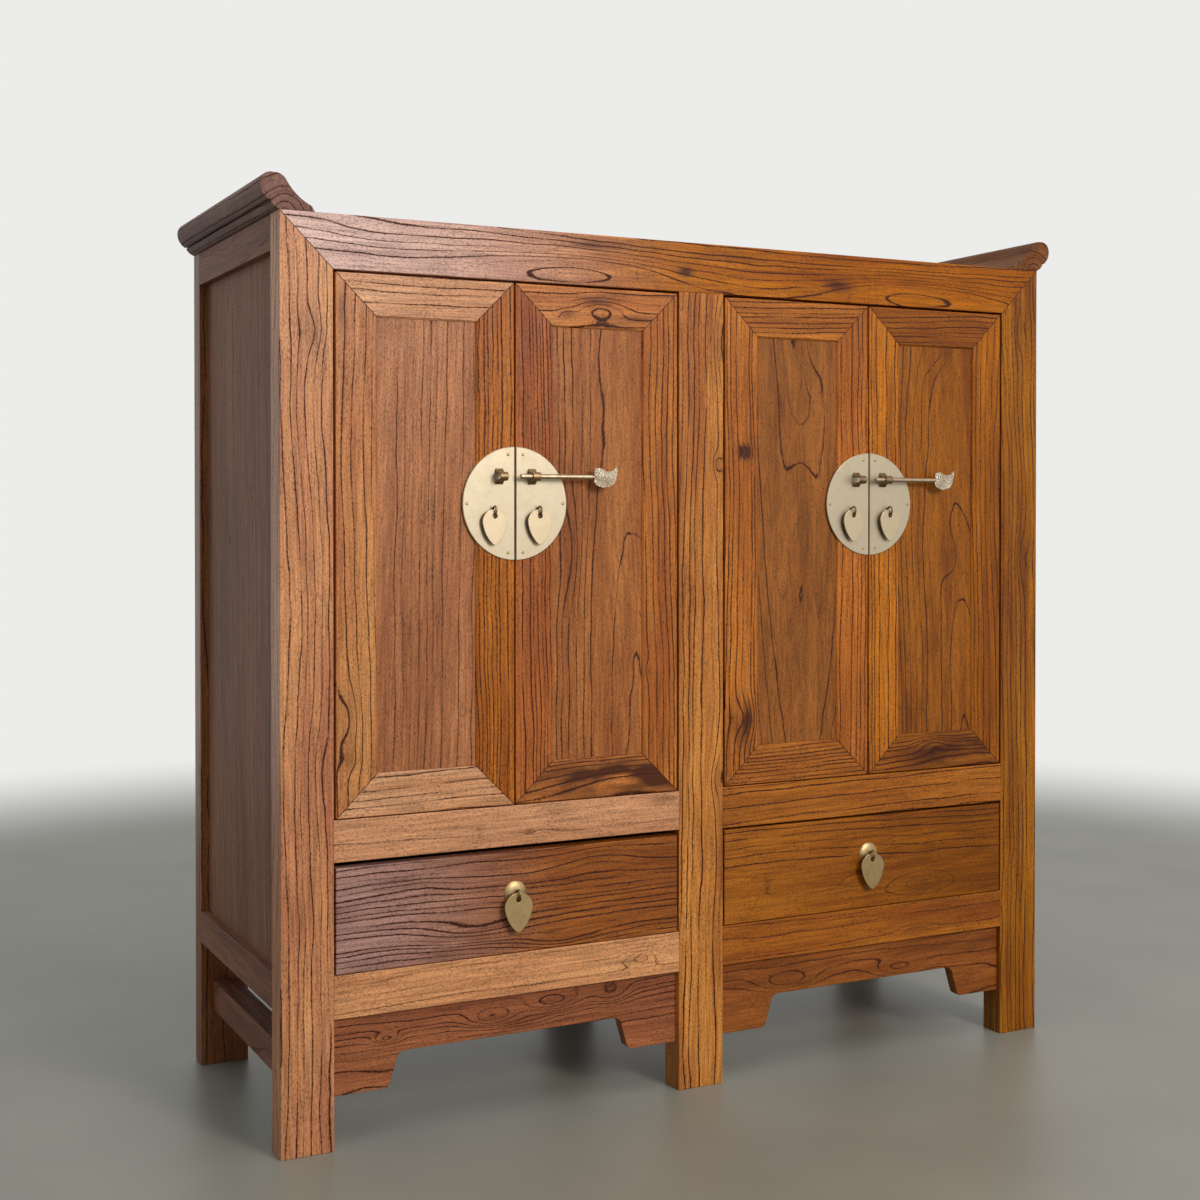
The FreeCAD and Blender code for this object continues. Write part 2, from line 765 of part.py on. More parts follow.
cupboard_floors = []
shelves = []
battens = []
SHELF_LOW = f"({DOOR_SILL} + shelf_rise)"
GUIDE_WALL = f"({DRAWER_SIDE_OUT} + drawer_side_gap)"
for side, sign in (("left", -1), ("right", 1)):
    bay = mirrored(sign, BAY)
    across = span(sign, PARTITION, SIDE_INNER)
    cupboard_floors.append(
        board(
            f"cupboard_floor_{side}",
            across,
            BETWEEN_POSTS,
            (f"{DOOR_SILL} - floor_thickness", DOOR_SILL),
        )
    )
    shelves.append(
        board(
            f"shelf_{side}",
            across,
            ("post_depth + shelf_setback", REAR_POST),
            (SHELF_LOW, f"{SHELF_LOW} + shelf_thickness"),
        )
    )
    edges = {
        "outer": (f"{SIDE_INNER} - batten_width", SIDE_INNER),
        "inner": (PARTITION, f"{PARTITION} + batten_width"),
    }
    for edge, (near, far) in edges.items():
        battens.append(
            board(
                f"shelf_bearer_{side}_{edge}",
                span(sign, near, far),
                ("post_depth + shelf_setback", REAR_POST),
                (f"{SHELF_LOW} - batten_height", SHELF_LOW),
            )
        )
        battens.append(
            board(
                f"floor_bearer_{side}_{edge}",
                span(sign, near, far),
                BETWEEN_POSTS,
                (f"{DOOR_SILL} - floor_thickness - batten_height", f"{DOOR_SILL} - floor_thickness"),
            )
        )
    rail_inner = f"{SIDE} - side_rail_thickness"
    runs = {
        "outer": (f"{BAY} + {DRAWER_SIDE_IN} - runner_ledge", rail_inner),
        "inner": (PARTITION, f"{BAY} - {DRAWER_SIDE_IN} + runner_ledge"),
    }
    fences = {
        "outer": (f"{BAY} + {GUIDE_WALL}", rail_inner),
        "inner": (PARTITION, f"{BAY} - {GUIDE_WALL}"),
    }
    for edge in ("outer", "inner"):
        battens.append(
            board(
                f"drawer_runner_{side}_{edge}",
                span(sign, *runs[edge]),
                BETWEEN_POSTS,
                (f"{RUNNER_TOP} - batten_height", RUNNER_TOP),
            )
        )
        battens.append(
            board(
                f"drawer_guide_{side}_{edge}",
                span(sign, *fences[edge]),
                BETWEEN_POSTS,
                (RUNNER_TOP, f"{RUNNER_TOP} + batten_height"),
            )
        )
    stop_deep = (f"door_thickness + {slack}", "post_depth")
    for name, low, high in (
        ("upper", f"{DOOR_HEAD} - stop_height", DOOR_HEAD),
        ("lower", DOOR_SILL, f"{DOOR_SILL} + stop_height"),
    ):
        battens.append(
            board(
                f"door_stop_{side}_{name}",
                ("-stop_width / 2", "stop_width / 2"),
                stop_deep,
                (low, high),
                bay,
            )
        )
nodes.append(group("cupboard_floors", cupboard_floors))
nodes.append(group("shelves", shelves))
nodes.append(group("inner_battens", battens))

# Doors


def mitred_member(label, bay, corners, groove, long_axis, outer, inner, inner_axis):
    """One member of a door frame: eased outside, bevelled inside, grooved for the panel."""
    body = new_body(label, bay)
    build_on(body, "XZ", corners, "0", "door_thickness")
    soften(body, "Chamfer", "joint_bevel", is_front_mitre)
    soften(
        body,
        "Fillet",
        "edge_ease",
        lambda edge: is_along(edge, long_axis) and lies_at(edge, inner_axis, outer),
    )
    soften(
        body,
        "Chamfer",
        "inner_bevel",
        lambda edge: is_along(edge, long_axis)
        and lies_at(edge, inner_axis, inner)
        and lies_at(edge, "y", "0"),
    )
    cut_from(
        body,
        "XZ",
        groove,
        f"{TONGUE_FRONT} - {slack} / 3",
        f"{TONGUE_FRONT} + tongue_thickness + {slack} / 3",
    )
    return body


def hole_list(sign, *places):
    return [(mirrored(sign, across), up) for across, up in places]


def nail(label, bay, across, up, stand):
    """Brass nail with a low crowned head on the face plate."""
    head = doc.addObject("Part::Cone", label + "_head")
    head.setExpression("Radius1", cells("nail_head_radius"))
    head.setExpression("Radius2", cells("nail_crown_radius"))
    head.setExpression("Height", cells("nail_head_height"))
    shank = doc.addObject("Part::Cylinder", label + "_shank")
    shank.setExpression("Radius", cells("nail_shank_radius"))
    shank.setExpression("Height", cells("nail_length"))
    forward = FreeCAD.Rotation(FreeCAD.Vector(1, 0, 0), 90)
    backward = FreeCAD.Rotation(FreeCAD.Vector(1, 0, 0), -90)
    head.Placement.Rotation = forward
    shank.Placement.Rotation = backward
    place(head, f"({bay}) + ({across})", f"{FRONT} - {stand}", up)
    place(shank, f"({bay}) + ({across})", f"{FRONT} - {stand}", up)
    return fuse(label, [head, shank])


def eye(label, bay, across, up, stand, back):
    """Wire loop on a shank that passes through the wood and is clinched behind it."""
    loop = doc.addObject("Part::Torus", label + "_loop")
    loop.setExpression("Radius1", cells("eye_radius"))
    loop.setExpression("Radius2", cells("eye_wire"))
    loop.Placement.Rotation = FreeCAD.Rotation(FreeCAD.Vector(0, 1, 0), 90)
    place(loop, f"({bay}) + ({across})", f"{FRONT} - {stand}", up)
    shank = doc.addObject("Part::Cylinder", label + "_shank")
    shank.setExpression("Radius", cells("eye_shank_radius"))
    shank.setExpression("Height", cells(f"{stand} - eye_radius + {back} + clinch_thickness"))
    shank.Placement.Rotation = FreeCAD.Rotation(FreeCAD.Vector(1, 0, 0), -90)
    place(shank, f"({bay}) + ({across})", f"{FRONT} - {stand} + eye_radius", up)
    clinch = doc.addObject("Part::Box", label + "_clinch")
    clinch.setExpression("Length", cells("2 * eye_shank_radius"))
    clinch.setExpression("Width", cells("clinch_thickness"))
    clinch.setExpression("Height", cells("clinch_length"))
    place(
        clinch,
        f"({bay}) + ({across}) - eye_shank_radius",
        f"{FRONT} + {back}",
        f"{up} - clinch_length / 2",
    )
    return fuse(label, [loop, shank, clinch])


def drop_pull(label, bay, across, eye_up, stand, width, height):
    """Flat pointed drop that hangs by its hole on a wire loop."""
    body = new_body(label, bay)
    hole_up = f"({eye_up} - eye_radius - pull_hole_radius + eye_wire + {slack} / 2)"
    top = f"({hole_up} + pull_hole_drop)"

    def spot(sign, share, fall):
        return f"{across} + {width} / 2 * {sign * share}", f"{top} - {height} * {fall}"

    outline = []
    for shares in PULL_SHARES[1:]:
        outline.append(spot(1, *shares[:2]) + (spot(1, *shares[2:]) if len(shares) == 4 else ()))
    for here in range(len(PULL_SHARES) - 1, 0, -1):
        bulge = PULL_SHARES[here][2:]
        corner = spot(-1, *PULL_SHARES[here - 1][:2])
        outline.append(corner + (spot(-1, *bulge) if bulge else ()))
    face, back = f"-{stand} - pull_thickness / 2", f"-{stand} + pull_thickness / 2"
    build_on(body, "XZ", outline, face, back)
    drill(body, "XZ", [(across, hole_up)], "pull_hole_radius", face, back)
    soften(
        body,
        "Chamfer",
        "pull_bevel",
        lambda edge: len(edge.Vertexes) == 1 and lies_at(edge, "y", face),
    )
    return body


def half_plate(label, bay, sign):
    """Half of a round face plate, with a bevelled rim and holes for its nails and eye."""
    body = new_body(label, bay)
    chord = f"sqrt(plate_radius * plate_radius - {DOOR_IN} * {DOOR_IN})"
    outline = [
        (DOOR_IN, f"{PLATE_UP} - {chord}"),
        (DOOR_IN, f"{PLATE_UP} + {chord}", "plate_radius", PLATE_UP),
    ]
    build_on(body, "XZ", hand(sign, outline), "-plate_thickness", "0")
    soften(body, "Chamfer", "plate_bevel", lambda edge: lies_at(edge, "y", "-plate_thickness"))
    drill(
        body,
        "XZ",
        hole_list(sign, *NAIL_PLACES),
        "nail_shank_radius + running_clearance",
        "-plate_thickness",
        "0",
    )
    drill(
        body,
        "XZ",
        hole_list(sign, ("eye_offset", EYE_UP)),
        "eye_shank_radius + running_clearance",
        "-plate_thickness",
        "0",
    )
    return body


def bolt_guide(label, bay, sign):
    """Bent brass hood whose rounded front holds the bolt."""
    body = new_body(label, bay)
    bore = "(bolt_radius + running_clearance)"
    waist = "(-(bolt_stand + plate_thickness) / 2)"
    outline = [
        ("-plate_thickness", f"{BOLT_UP} + guide_foot"),
        (waist, f"{BOLT_UP} + guide_radius"),
        ("-bolt_stand", f"{BOLT_UP} + guide_radius"),
        (
            "-bolt_stand",
            f"{BOLT_UP} - guide_radius",
            "-bolt_stand - guide_radius",
            BOLT_UP,
        ),
        (waist, f"{BOLT_UP} - guide_radius"),
        ("-plate_thickness", f"{BOLT_UP} - guide_foot"),
        ("-plate_thickness", f"{BOLT_UP} - guide_foot + guide_wall"),
        (waist, f"{BOLT_UP} - {bore}"),
        ("-bolt_stand", f"{BOLT_UP} - {bore}"),
        ("-bolt_stand", f"{BOLT_UP} + {bore}", f"-bolt_stand - {bore}", BOLT_UP),
        (waist, f"{BOLT_UP} + {bore}"),
        ("-plate_thickness", f"{BOLT_UP} + guide_foot - guide_wall"),
    ]
    build_on(body, "YZ", outline, *span(sign, "guide_offset", "guide_offset + guide_length"))
    return body


def pivot_pin(label, bay, across, low, high):
    pivot = doc.addObject("Part::Cylinder", label)
    pivot.setExpression("Radius", cells("pivot_radius"))
    pivot.setExpression("Height", cells(f"({high}) - ({low})"))
    place(pivot, f"({bay}) + ({across})", f"{FRONT} + {PIVOT_BACK}", low)
    return pivot


NAIL_RISE = "(plate_radius - nail_rim_gap)"
NAIL_PLACES = [
    ("nail_inset", f"{PLATE_UP} + {NAIL_RISE}"),
    ("(plate_radius - nail_end_gap)", PLATE_UP),
    ("nail_inset", f"{PLATE_UP} - {NAIL_RISE}"),
]
PIVOT_BORE = "pivot_radius + running_clearance"
PIVOT_HIGH = (f"{DOOR_HIGH} - pivot_grip", f"{DOOR_HIGH} + pivot_reach")
PIVOT_LOW = (f"{DOOR_LOW} - pivot_reach", f"{DOOR_LOW} + pivot_grip")


def door(number, bay, sign):
    """Framed and panelled door with its half of the face plate, hung on two pivots."""
    name = f"door_{number}"
    depth = "groove_depth + 2 * " + slack
    full = ("0", "door_thickness")

    def member(part, corners, groove, axis, outer, inner):
        outer, inner = (outer, inner) if axis == "X" else (mirrored(sign, outer), mirrored(sign, inner))
        side = "z" if axis == "X" else "x"
        return mitred_member(
            f"{name}_{part}", bay, hand(sign, corners), hand(sign, groove), axis, outer, inner, side
        )

    outer_stile = member(
        "outer_stile",
        [(DOOR_OUT, DOOR_LOW), (DOOR_OUT, DOOR_HIGH), (FIELD_OUT, FIELD_HIGH), (FIELD_OUT, FIELD_LOW)],
        box(FIELD_OUT, f"{FIELD_OUT} + {depth}", DOOR_LOW, DOOR_HIGH),
        "Z",
        DOOR_OUT,
        FIELD_OUT,
    )
    meeting_stile = member(
        "meeting_stile",
        [(DOOR_IN, DOOR_LOW), (DOOR_IN, DOOR_HIGH), (FIELD_IN, FIELD_HIGH), (FIELD_IN, FIELD_LOW)],
        box(f"{FIELD_IN} - ({depth})", FIELD_IN, DOOR_LOW, DOOR_HIGH),
        "Z",
        DOOR_IN,
        FIELD_IN,
    )
    upper_rail = member(
        "upper_rail",
        [(DOOR_IN, DOOR_HIGH), (DOOR_OUT, DOOR_HIGH), (FIELD_OUT, FIELD_HIGH), (FIELD_IN, FIELD_HIGH)],
        box(DOOR_IN, DOOR_OUT, FIELD_HIGH, f"{FIELD_HIGH} + {depth}"),
        "X",
        DOOR_HIGH,
        FIELD_HIGH,
    )
    lower_rail = member(
        "lower_rail",
        [(DOOR_IN, DOOR_LOW), (DOOR_OUT, DOOR_LOW), (FIELD_OUT, FIELD_LOW), (FIELD_IN, FIELD_LOW)],
        box(DOOR_IN, DOOR_OUT, f"{FIELD_LOW} - ({depth})", FIELD_LOW),
        "X",
        DOOR_LOW,
        FIELD_LOW,
    )
    pivot_hole = hole_list(sign, (PIVOT, PIVOT_BACK))
    for body, reach in ((upper_rail, PIVOT_HIGH), (outer_stile, PIVOT_HIGH)):
        drill(body, "XY", pivot_hole, PIVOT_BORE, reach[0], DOOR_HIGH)
    for body, reach in ((lower_rail, PIVOT_LOW), (outer_stile, PIVOT_LOW)):
        drill(body, "XY", pivot_hole, PIVOT_BORE, DOOR_LOW, reach[1])
    stile_nails = hole_list(sign, NAIL_PLACES[0], NAIL_PLACES[2])
    nail_bore = "nail_shank_radius + running_clearance"
    drill(meeting_stile, "XZ", stile_nails, nail_bore, *full)
    eye_hole = hole_list(sign, ("eye_offset", EYE_UP))
    drill(meeting_stile, "XZ", eye_hole, "eye_shank_radius + running_clearance", *full)

    panel = new_body(f"{name}_panel", bay)
    tongue = box(
        f"{FIELD_IN} - ({depth})",
        f"{FIELD_OUT} + {depth}",
        f"{FIELD_LOW} - ({depth})",
        f"{FIELD_HIGH} + {depth}",
    )
    field = box(
        f"{FIELD_IN} + panel_slit",
        f"{FIELD_OUT} - panel_slit",
        f"{FIELD_LOW} + panel_slit",
        f"{FIELD_HIGH} - panel_slit",
    )
    tongue_back = f"{TONGUE_FRONT} + tongue_thickness"
    build_on(panel, "XZ", hand(sign, tongue), TONGUE_FRONT, tongue_back)
    build_on(panel, "XZ", hand(sign, field), "panel_recess", "panel_recess + panel_thickness")
    panel_nail = hole_list(sign, NAIL_PLACES[1])
    drill(panel, "XZ", panel_nail, nail_bore, "panel_recess", "panel_recess + panel_thickness")

    eye_place = mirrored(sign, "eye_offset")
    hardware = [
        nail(f"{name}_nail_{n}", bay, mirrored(sign, across), up, "plate_thickness")
        for n, (across, up) in enumerate(NAIL_PLACES, start=1)
    ]
    hardware.append(eye(f"{name}_eye", bay, eye_place, EYE_UP, EYE_STAND, "door_thickness"))
    hardware.append(bolt_guide(f"{name}_guide", bay, sign))
    pivot_place = mirrored(sign, PIVOT)
    hardware.append(pivot_pin(f"{name}_upper_pivot", bay, pivot_place, *PIVOT_HIGH))
    hardware.append(pivot_pin(f"{name}_lower_pivot", bay, pivot_place, *PIVOT_LOW))

    return [
        group(f"{name}_stiles", [outer_stile, meeting_stile]),
        group(f"{name}_rails", [upper_rail, lower_rail]),
        panel,
        half_plate(f"{name}_plate", bay, sign),
        group(f"{name}_hardware", hardware),
        drop_pull(
            f"{name}_pull", bay, eye_place, EYE_UP, EYE_STAND, "pull_width", "pull_height"
        ),
    ]


for number, bay, sign in ((1, f"-{BAY}", -1), (2, f"-{BAY}", 1), (3, BAY, -1), (4, BAY, 1)):
    nodes.extend(door(number, bay, sign))

# Bolts, shown drawn clear of the meeting line


def bolt(label, bay):
    """Round bolt with a flat leaf at its outer end."""
    body = new_body(label, bay)
    root = f"({LEAF_START} + {BOLT_DRAW})"
    leaf = []
    for shares in LEAF_SHARES:
        corner = ()
        for along, up in (shares[n : n + 2] for n in range(0, len(shares), 2)):
            corner += (f"{root} + leaf_length * {along}", f"{BOLT_UP} + leaf_height * {up}")
        leaf.append(corner)
    face = "-bolt_stand - leaf_thickness / 2"
    back = "-bolt_stand + leaf_thickness / 2"
    build_on(body, "XZ", leaf, face, back)
    rod = new_sketch(body, "YZ", "bolt_clear")
    circle = Part.Circle(flat("-bolt_stand", BOLT_UP), FreeCAD.Vector(0, 0, 1), measure("bolt_radius"))
    shape = rod.addGeometry(circle, False)
    pin(rod, shape, 3, "-bolt_stand", BOLT_UP)
    size_of = rod.addConstraint(Sketcher.Constraint("Radius", shape, measure("bolt_radius")))
    rod.setExpression(f"Constraints[{size_of}]", cells("bolt_radius"))
    pad = body.newObject("PartDesign::Pad", body.Name + "_rod")
    pad.Profile = rod
    pad.setExpression("Length", cells(f"bolt_home_reach + {LEAF_START} + bolt_radius"))
    doc.recompute()
    return body


nodes.append(bolt("left_bolt", f"-{BAY}"))
nodes.append(bolt("right_bolt", BAY))

# Drawers


def drawer(side, bay):
    """Drawer with a solid front, a plain box behind it and a drop pull on a rosette."""
    name = f"{side}_drawer"
    front = new_body(f"{name}_front", bay)
    outline = box(f"-{DRAWER_HALF}", DRAWER_HALF, DRAWER_LOW, DRAWER_HIGH)
    build_on(front, "XZ", outline, "0", "drawer_front_thickness")
    soften(front, "Fillet", "edge_ease", lambda edge: lies_at(edge, "y", "0"))
    shank_bore = "eye_shank_radius + running_clearance"
    drill(front, "XZ", [("0", ROSETTE_UP)], shank_bore, "0", "drawer_front_thickness")

    side_up = (DRAWER_SIDE_LOW, DRAWER_SIDE_HIGH)
    side_deep = ("drawer_front_thickness", DRAWER_BACK)
    box_parts = [
        board(
            f"{name}_side_{word}",
            span(sign, DRAWER_SIDE_IN, DRAWER_SIDE_OUT),
            side_deep,
            side_up,
            bay,
        )
        for word, sign in (("left", -1), ("right", 1))
    ]
    inside = (f"-{DRAWER_SIDE_IN}", DRAWER_SIDE_IN)
    inner_back = f"({DRAWER_BACK} - drawer_side_thickness)"
    back_deep = (inner_back, DRAWER_BACK)
    box_parts.append(board(f"{name}_back", inside, back_deep, side_up, bay))
    floor_low = f"{DRAWER_SIDE_LOW} + drawer_bottom_lift"
    box_parts.append(
        board(
            f"{name}_bottom",
            inside,
            ("drawer_front_thickness", inner_back),
            (floor_low, f"{floor_low} + drawer_bottom_thickness"),
            bay,
        )
    )

    rosette = new_body(f"{name}_rosette_dome", bay)
    place(rosette, bay, FRONT, ROSETTE_UP)
    rosette.Placement.Rotation = FreeCAD.Rotation(FreeCAD.Vector(0, 0, 1), 180)
    profile = new_sketch(rosette, "XY", "0")
    bore = "(eye_shank_radius + running_clearance)"
    draw(
        profile,
        [
            (bore, "0"),
            ("rosette_radius", "0"),
            (
                bore,
                "rosette_height",
                f"rosette_radius * {DOME_SHARES[0]}",
                f"rosette_height * {DOME_SHARES[1]}",
            ),
        ],
    )
    turn = rosette.newObject("PartDesign::Revolution", rosette.Name + "_turn")
    turn.Profile = profile
    turn.ReferenceAxis = (profile, ["V_Axis"])
    turn.Angle = 360
    doc.recompute()
    loop = eye(f"{name}_eye", bay, "0", ROSETTE_UP, ROSETTE_EYE_STAND, "drawer_front_thickness")

    return [
        front,
        group(f"{name}_box", box_parts),
        group(f"{name}_fitting", [rosette, loop]),
        drop_pull(
            f"{name}_pull",
            bay,
            "0",
            ROSETTE_UP,
            ROSETTE_EYE_STAND,
            "drawer_pull_width",
            "drawer_pull_height",
        ),
    ]


for side, sign in (("left", -1), ("right", 1)):
    nodes.extend(drawer(side, mirrored(sign, BAY)))

# Checks and files

doc.recompute()
faults = [
    item.Label for item in doc.Objects if "Invalid" in item.State or "Error" in item.State
]
for node in nodes:
    if node.Shape.isNull() or not node.Shape.isValid():
        faults.append(node.Label + " has no valid shape")
if faults:
    raise RuntimeError("failed: " + ", ".join(faults))

os.makedirs("parts", exist_ok=True)
for node in nodes:
    node.Shape.exportStep(f"parts/{node.Label}.step")
    print(node.Label, len(node.Shape.Solids), "solids", round(node.Shape.Volume / 1000, 1), "cm3")
print(len(nodes), "nodes")
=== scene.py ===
# %% [markdown]
# # Storage cabinet in oiled elm with pale brass
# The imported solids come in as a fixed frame. They already have the right
# shape and place, so the woodwork only needs good materials. The brass is
# small and catches the eye, so it is modelled again here, finer than a solid
# needs to be, and each new piece rides on the body that carries it.

import json
import math

import bmesh
import bpy
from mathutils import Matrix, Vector


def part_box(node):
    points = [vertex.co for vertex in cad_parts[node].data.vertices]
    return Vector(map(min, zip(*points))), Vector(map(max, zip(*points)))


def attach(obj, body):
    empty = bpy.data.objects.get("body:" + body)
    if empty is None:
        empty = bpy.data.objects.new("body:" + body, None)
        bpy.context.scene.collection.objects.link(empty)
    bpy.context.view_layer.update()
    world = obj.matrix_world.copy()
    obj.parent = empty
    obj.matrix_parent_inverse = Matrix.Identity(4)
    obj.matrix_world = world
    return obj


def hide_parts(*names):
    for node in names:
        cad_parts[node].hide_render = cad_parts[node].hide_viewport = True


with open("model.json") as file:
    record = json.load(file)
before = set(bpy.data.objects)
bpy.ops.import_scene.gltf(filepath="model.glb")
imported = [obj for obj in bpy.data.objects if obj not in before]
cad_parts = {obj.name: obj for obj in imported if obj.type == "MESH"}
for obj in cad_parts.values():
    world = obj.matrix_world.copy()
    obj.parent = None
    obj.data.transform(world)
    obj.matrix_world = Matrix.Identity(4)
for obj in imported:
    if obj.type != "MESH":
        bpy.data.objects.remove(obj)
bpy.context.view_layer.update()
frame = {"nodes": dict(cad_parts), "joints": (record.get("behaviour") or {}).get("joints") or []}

# %% [markdown]
# ## Places on the front
# Sizes are the real ones in millimetres, and one value turns them into
# metres, which is what the frame uses. The places of the doors and plates are
# read from the solids, so that a new piece lands where the old one is.

# %% Places on the front
MM = 0.001
PLATE_THICKNESS = 1.6
HALF_GAP = 1.0  # half the gap between the two plates of a pair
BOLT_STAND, BOLT_LIFT = 14.5, 34  # out from the door and up from the plate's middle
EYE_RADIUS, EYE_WIRE = 5, 1.3
EYE_DROP, EYE_CLEAR = 0.95, 0.1  # middle below the pull's top, and loop in front of the plate

DOORS = {1: -1, 2: 1, 3: -1, 4: 1}  # which side of its meeting line each door lies on
door_low, door_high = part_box("door_1_stiles")
front = door_low.y
plate_low, plate_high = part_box("door_1_plate")
plate_z = (plate_low.z + plate_high.z) / 2
bolt_z = plate_z + BOLT_LIFT * MM
meeting = {}
for number, side in DOORS.items():
    low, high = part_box(f"door_{number}_plate")
    meeting[number] = high.x + HALF_GAP * MM if side < 0 else low.x - HALF_GAP * MM
eye_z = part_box("door_1_pull")[1].z - EYE_DROP * MM
eye_y = front - (PLATE_THICKNESS + EYE_RADIUS + EYE_WIRE + EYE_CLEAR) * MM
print("front", round(front, 5), "plate middle", round(plate_z, 5))
print("meeting lines", {number: round(line, 4) for number, line in meeting.items()})

# %% [markdown]
# ## Taking hold of a piece
# An operator works on whatever is selected, and the frame arrives with all
# its nodes selected. So each step first clears the selection, takes one
# object, and then picks faces or edges by where they lie.


# %% Selection helpers
def take(piece):
    """Make one object the only selected and active one."""
    if bpy.context.object and bpy.context.object.mode != "OBJECT":
        bpy.ops.object.mode_set(mode="OBJECT")
    bpy.ops.object.select_all(action="DESELECT")
    if piece:
        piece.select_set(True)
    bpy.context.view_layer.objects.active = piece


def edit(piece, kind="FACE", action="DESELECT"):
    """Open a piece for editing, with nothing or everything selected."""
    take(piece)
    bpy.ops.object.mode_set(mode="EDIT")
    bpy.ops.mesh.select_mode(type=kind)
    bpy.ops.mesh.select_all(action=action)


def pick(piece, kind, test):
    """Select the verts, edges or faces whose middle passes a test."""
    bpy.ops.mesh.select_mode(type={"verts": "VERT", "edges": "EDGE", "faces": "FACE"}[kind])
    bpy.ops.mesh.select_all(action="DESELECT")
    shape = bmesh.from_edit_mesh(piece.data)
    found = 0
    for part in getattr(shape, kind):
        corners = [part] if kind == "verts" else part.verts
        middle = sum((corner.co for corner in corners), Vector()) / len(corners)
        if test(middle, part):
            part.select_set(True)
            found += 1
    shape.select_flush(True)
    bmesh.update_edit_mesh(piece.data)
    return found


def towards(axis, sign):
    """A test for the faces that look along an axis, one way or the other."""
    return lambda middle, flat: getattr(flat.normal, axis) * sign > 0.9


print("selected on arrival", len(bpy.context.selected_objects))

# %% [markdown]
# ## Working on a piece
# The same few steps come back in every piece: a copy of a solid or a new
# cylinder, merged and turned right side out, with its sharp edges eased. The
# place goes into the mesh, so that each object stays at the origin. What
# repeats is modelled once, and its copies are moved to their places.


# %% Shape helpers
def settle(piece):
    """Put a piece's own place into its mesh."""
    take(piece)
    bpy.ops.object.transform_apply(location=True, rotation=True, scale=True)


def modify(piece, kind, **settings):
    """Add one modifier and apply it."""
    take(piece)
    modifier = piece.modifiers.new(kind.title(), kind)
    for key, value in settings.items():
        setattr(modifier, key, value)
    bpy.ops.object.modifier_apply(modifier=modifier.name)


def ease(piece, width, segments, angle):
    """Round every edge that turns by more than an angle."""
    limit = math.radians(angle)
    modify(piece, "BEVEL", width=width * MM, segments=segments, limit_method="ANGLE", angle_limit=limit)


def dissolve(piece, angle):
    """Turn the triangles of a flat face into one face."""
    modify(piece, "DECIMATE", decimate_type="DISSOLVE", angle_limit=math.radians(angle))


def face_out(piece):
    """Merge doubles and turn every face outwards."""
    edit(piece, "VERT", "SELECT")
    bpy.ops.mesh.remove_doubles(threshold=0.005 * MM)
    bpy.ops.mesh.normals_make_consistent(inside=False)
    take(piece)


def copy_of(source, name):
    """A second piece with its own mesh, which rides on nothing yet."""
    made = source.copy()
    made.data = source.data.copy()
    made.name = name
    made.parent = None
    for key in [key for key in made.keys() if key.startswith("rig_")]:
        del made[key]
    bpy.context.scene.collection.objects.link(made)
    made.hide_render = made.hide_viewport = False
    return made


def new_cylinder(sides, radius, length, place, turn=(0, 0, 0), ends="NGON"):
    """A cylinder along Z, then turned by degrees, with its place in its mesh."""
    take(None)
    bpy.ops.mesh.primitive_cylinder_add(
        vertices=sides,
        radius=radius,
        depth=length,
        end_fill_type=ends,
        location=place,
        rotation=[math.radians(v) for v in turn],
    )
    piece = bpy.context.object
    settle(piece)
    return piece


def draw_on(*way):
    """Extrude what is selected and move the new part."""
    bpy.ops.mesh.extrude_region_move(TRANSFORM_OT_translate={"value": way})


def copy_at(first, across=0.0, up=0.0):
    """A copy of a modelled piece, with its mesh moved to another place."""
    made = copy_of(first, f"{first.name}_copy")
    edit(made, "VERT", "SELECT")
    bpy.ops.transform.translate(value=(across, 0, up))
    take(made)
    return made


def join(pieces):
    """Join several objects into the first one."""
    take(pieces[0])
    for piece in pieces[1:]:
        piece.select_set(True)
    bpy.ops.object.join()
    return pieces[0]


print("shape helpers ready")

# %% [markdown]
# ## Finishing a piece
# A finished piece is shaded smooth except at real edges. Weighted normals
# keep its large flat faces flat right up to a rounded edge. Then it gets its
# name and its material, it is parented to an empty for the body it rides on,
# and the solids it stands for are hidden.

# %% Finish a piece
SMOOTH_BELOW = 35  # degrees between two faces
FLAT_WEIGHT = 80  # how much more a large face counts than a small one


def finish(piece, name, body, material, slot, *nodes):
    """Smooth and name a piece, give it its finish and let it ride on its body."""
    take(piece)
    bpy.ops.object.shade_smooth_by_angle(angle=math.radians(SMOOTH_BELOW))
    modify(piece, "WEIGHTED_NORMAL", keep_sharp=True, weight=FLAT_WEIGHT)
    piece.name = piece.data.name = name
    piece.data.materials.clear()
    piece.data.materials.append(material)
    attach(piece, body)
    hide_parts(*nodes)
    print(name, len(piece.data.polygons), "faces")


def finish_on_door(piece, number, part, material, slot):
    """Finish a piece that stands for part of a door's small hardware."""
    door = f"door_{number}"
    finish(piece, f"{door}_{part}", door, material, slot, f"{door}_hardware")


print("smooth below", SMOOTH_BELOW, "degrees")

# %% [markdown]
# ## Camera
# The photograph was solved as a pinhole camera from the straight edges of
# the cabinet: where the lens stands, which way it looks and how long it is.
# The horizon lies above the middle of the picture, as with a lens that is
# shifted down, so this camera has the same shift.

# %% Camera
CAMERA_PLACE = (-1.1429, -2.1571, 0.7718)  # metres
CAMERA_DIP, CAMERA_TURN = 0.63, -26.867  # degrees down from level and round from straight ahead
LENS, SENSOR, LENS_SHIFT = 50.94, 36, -0.0597

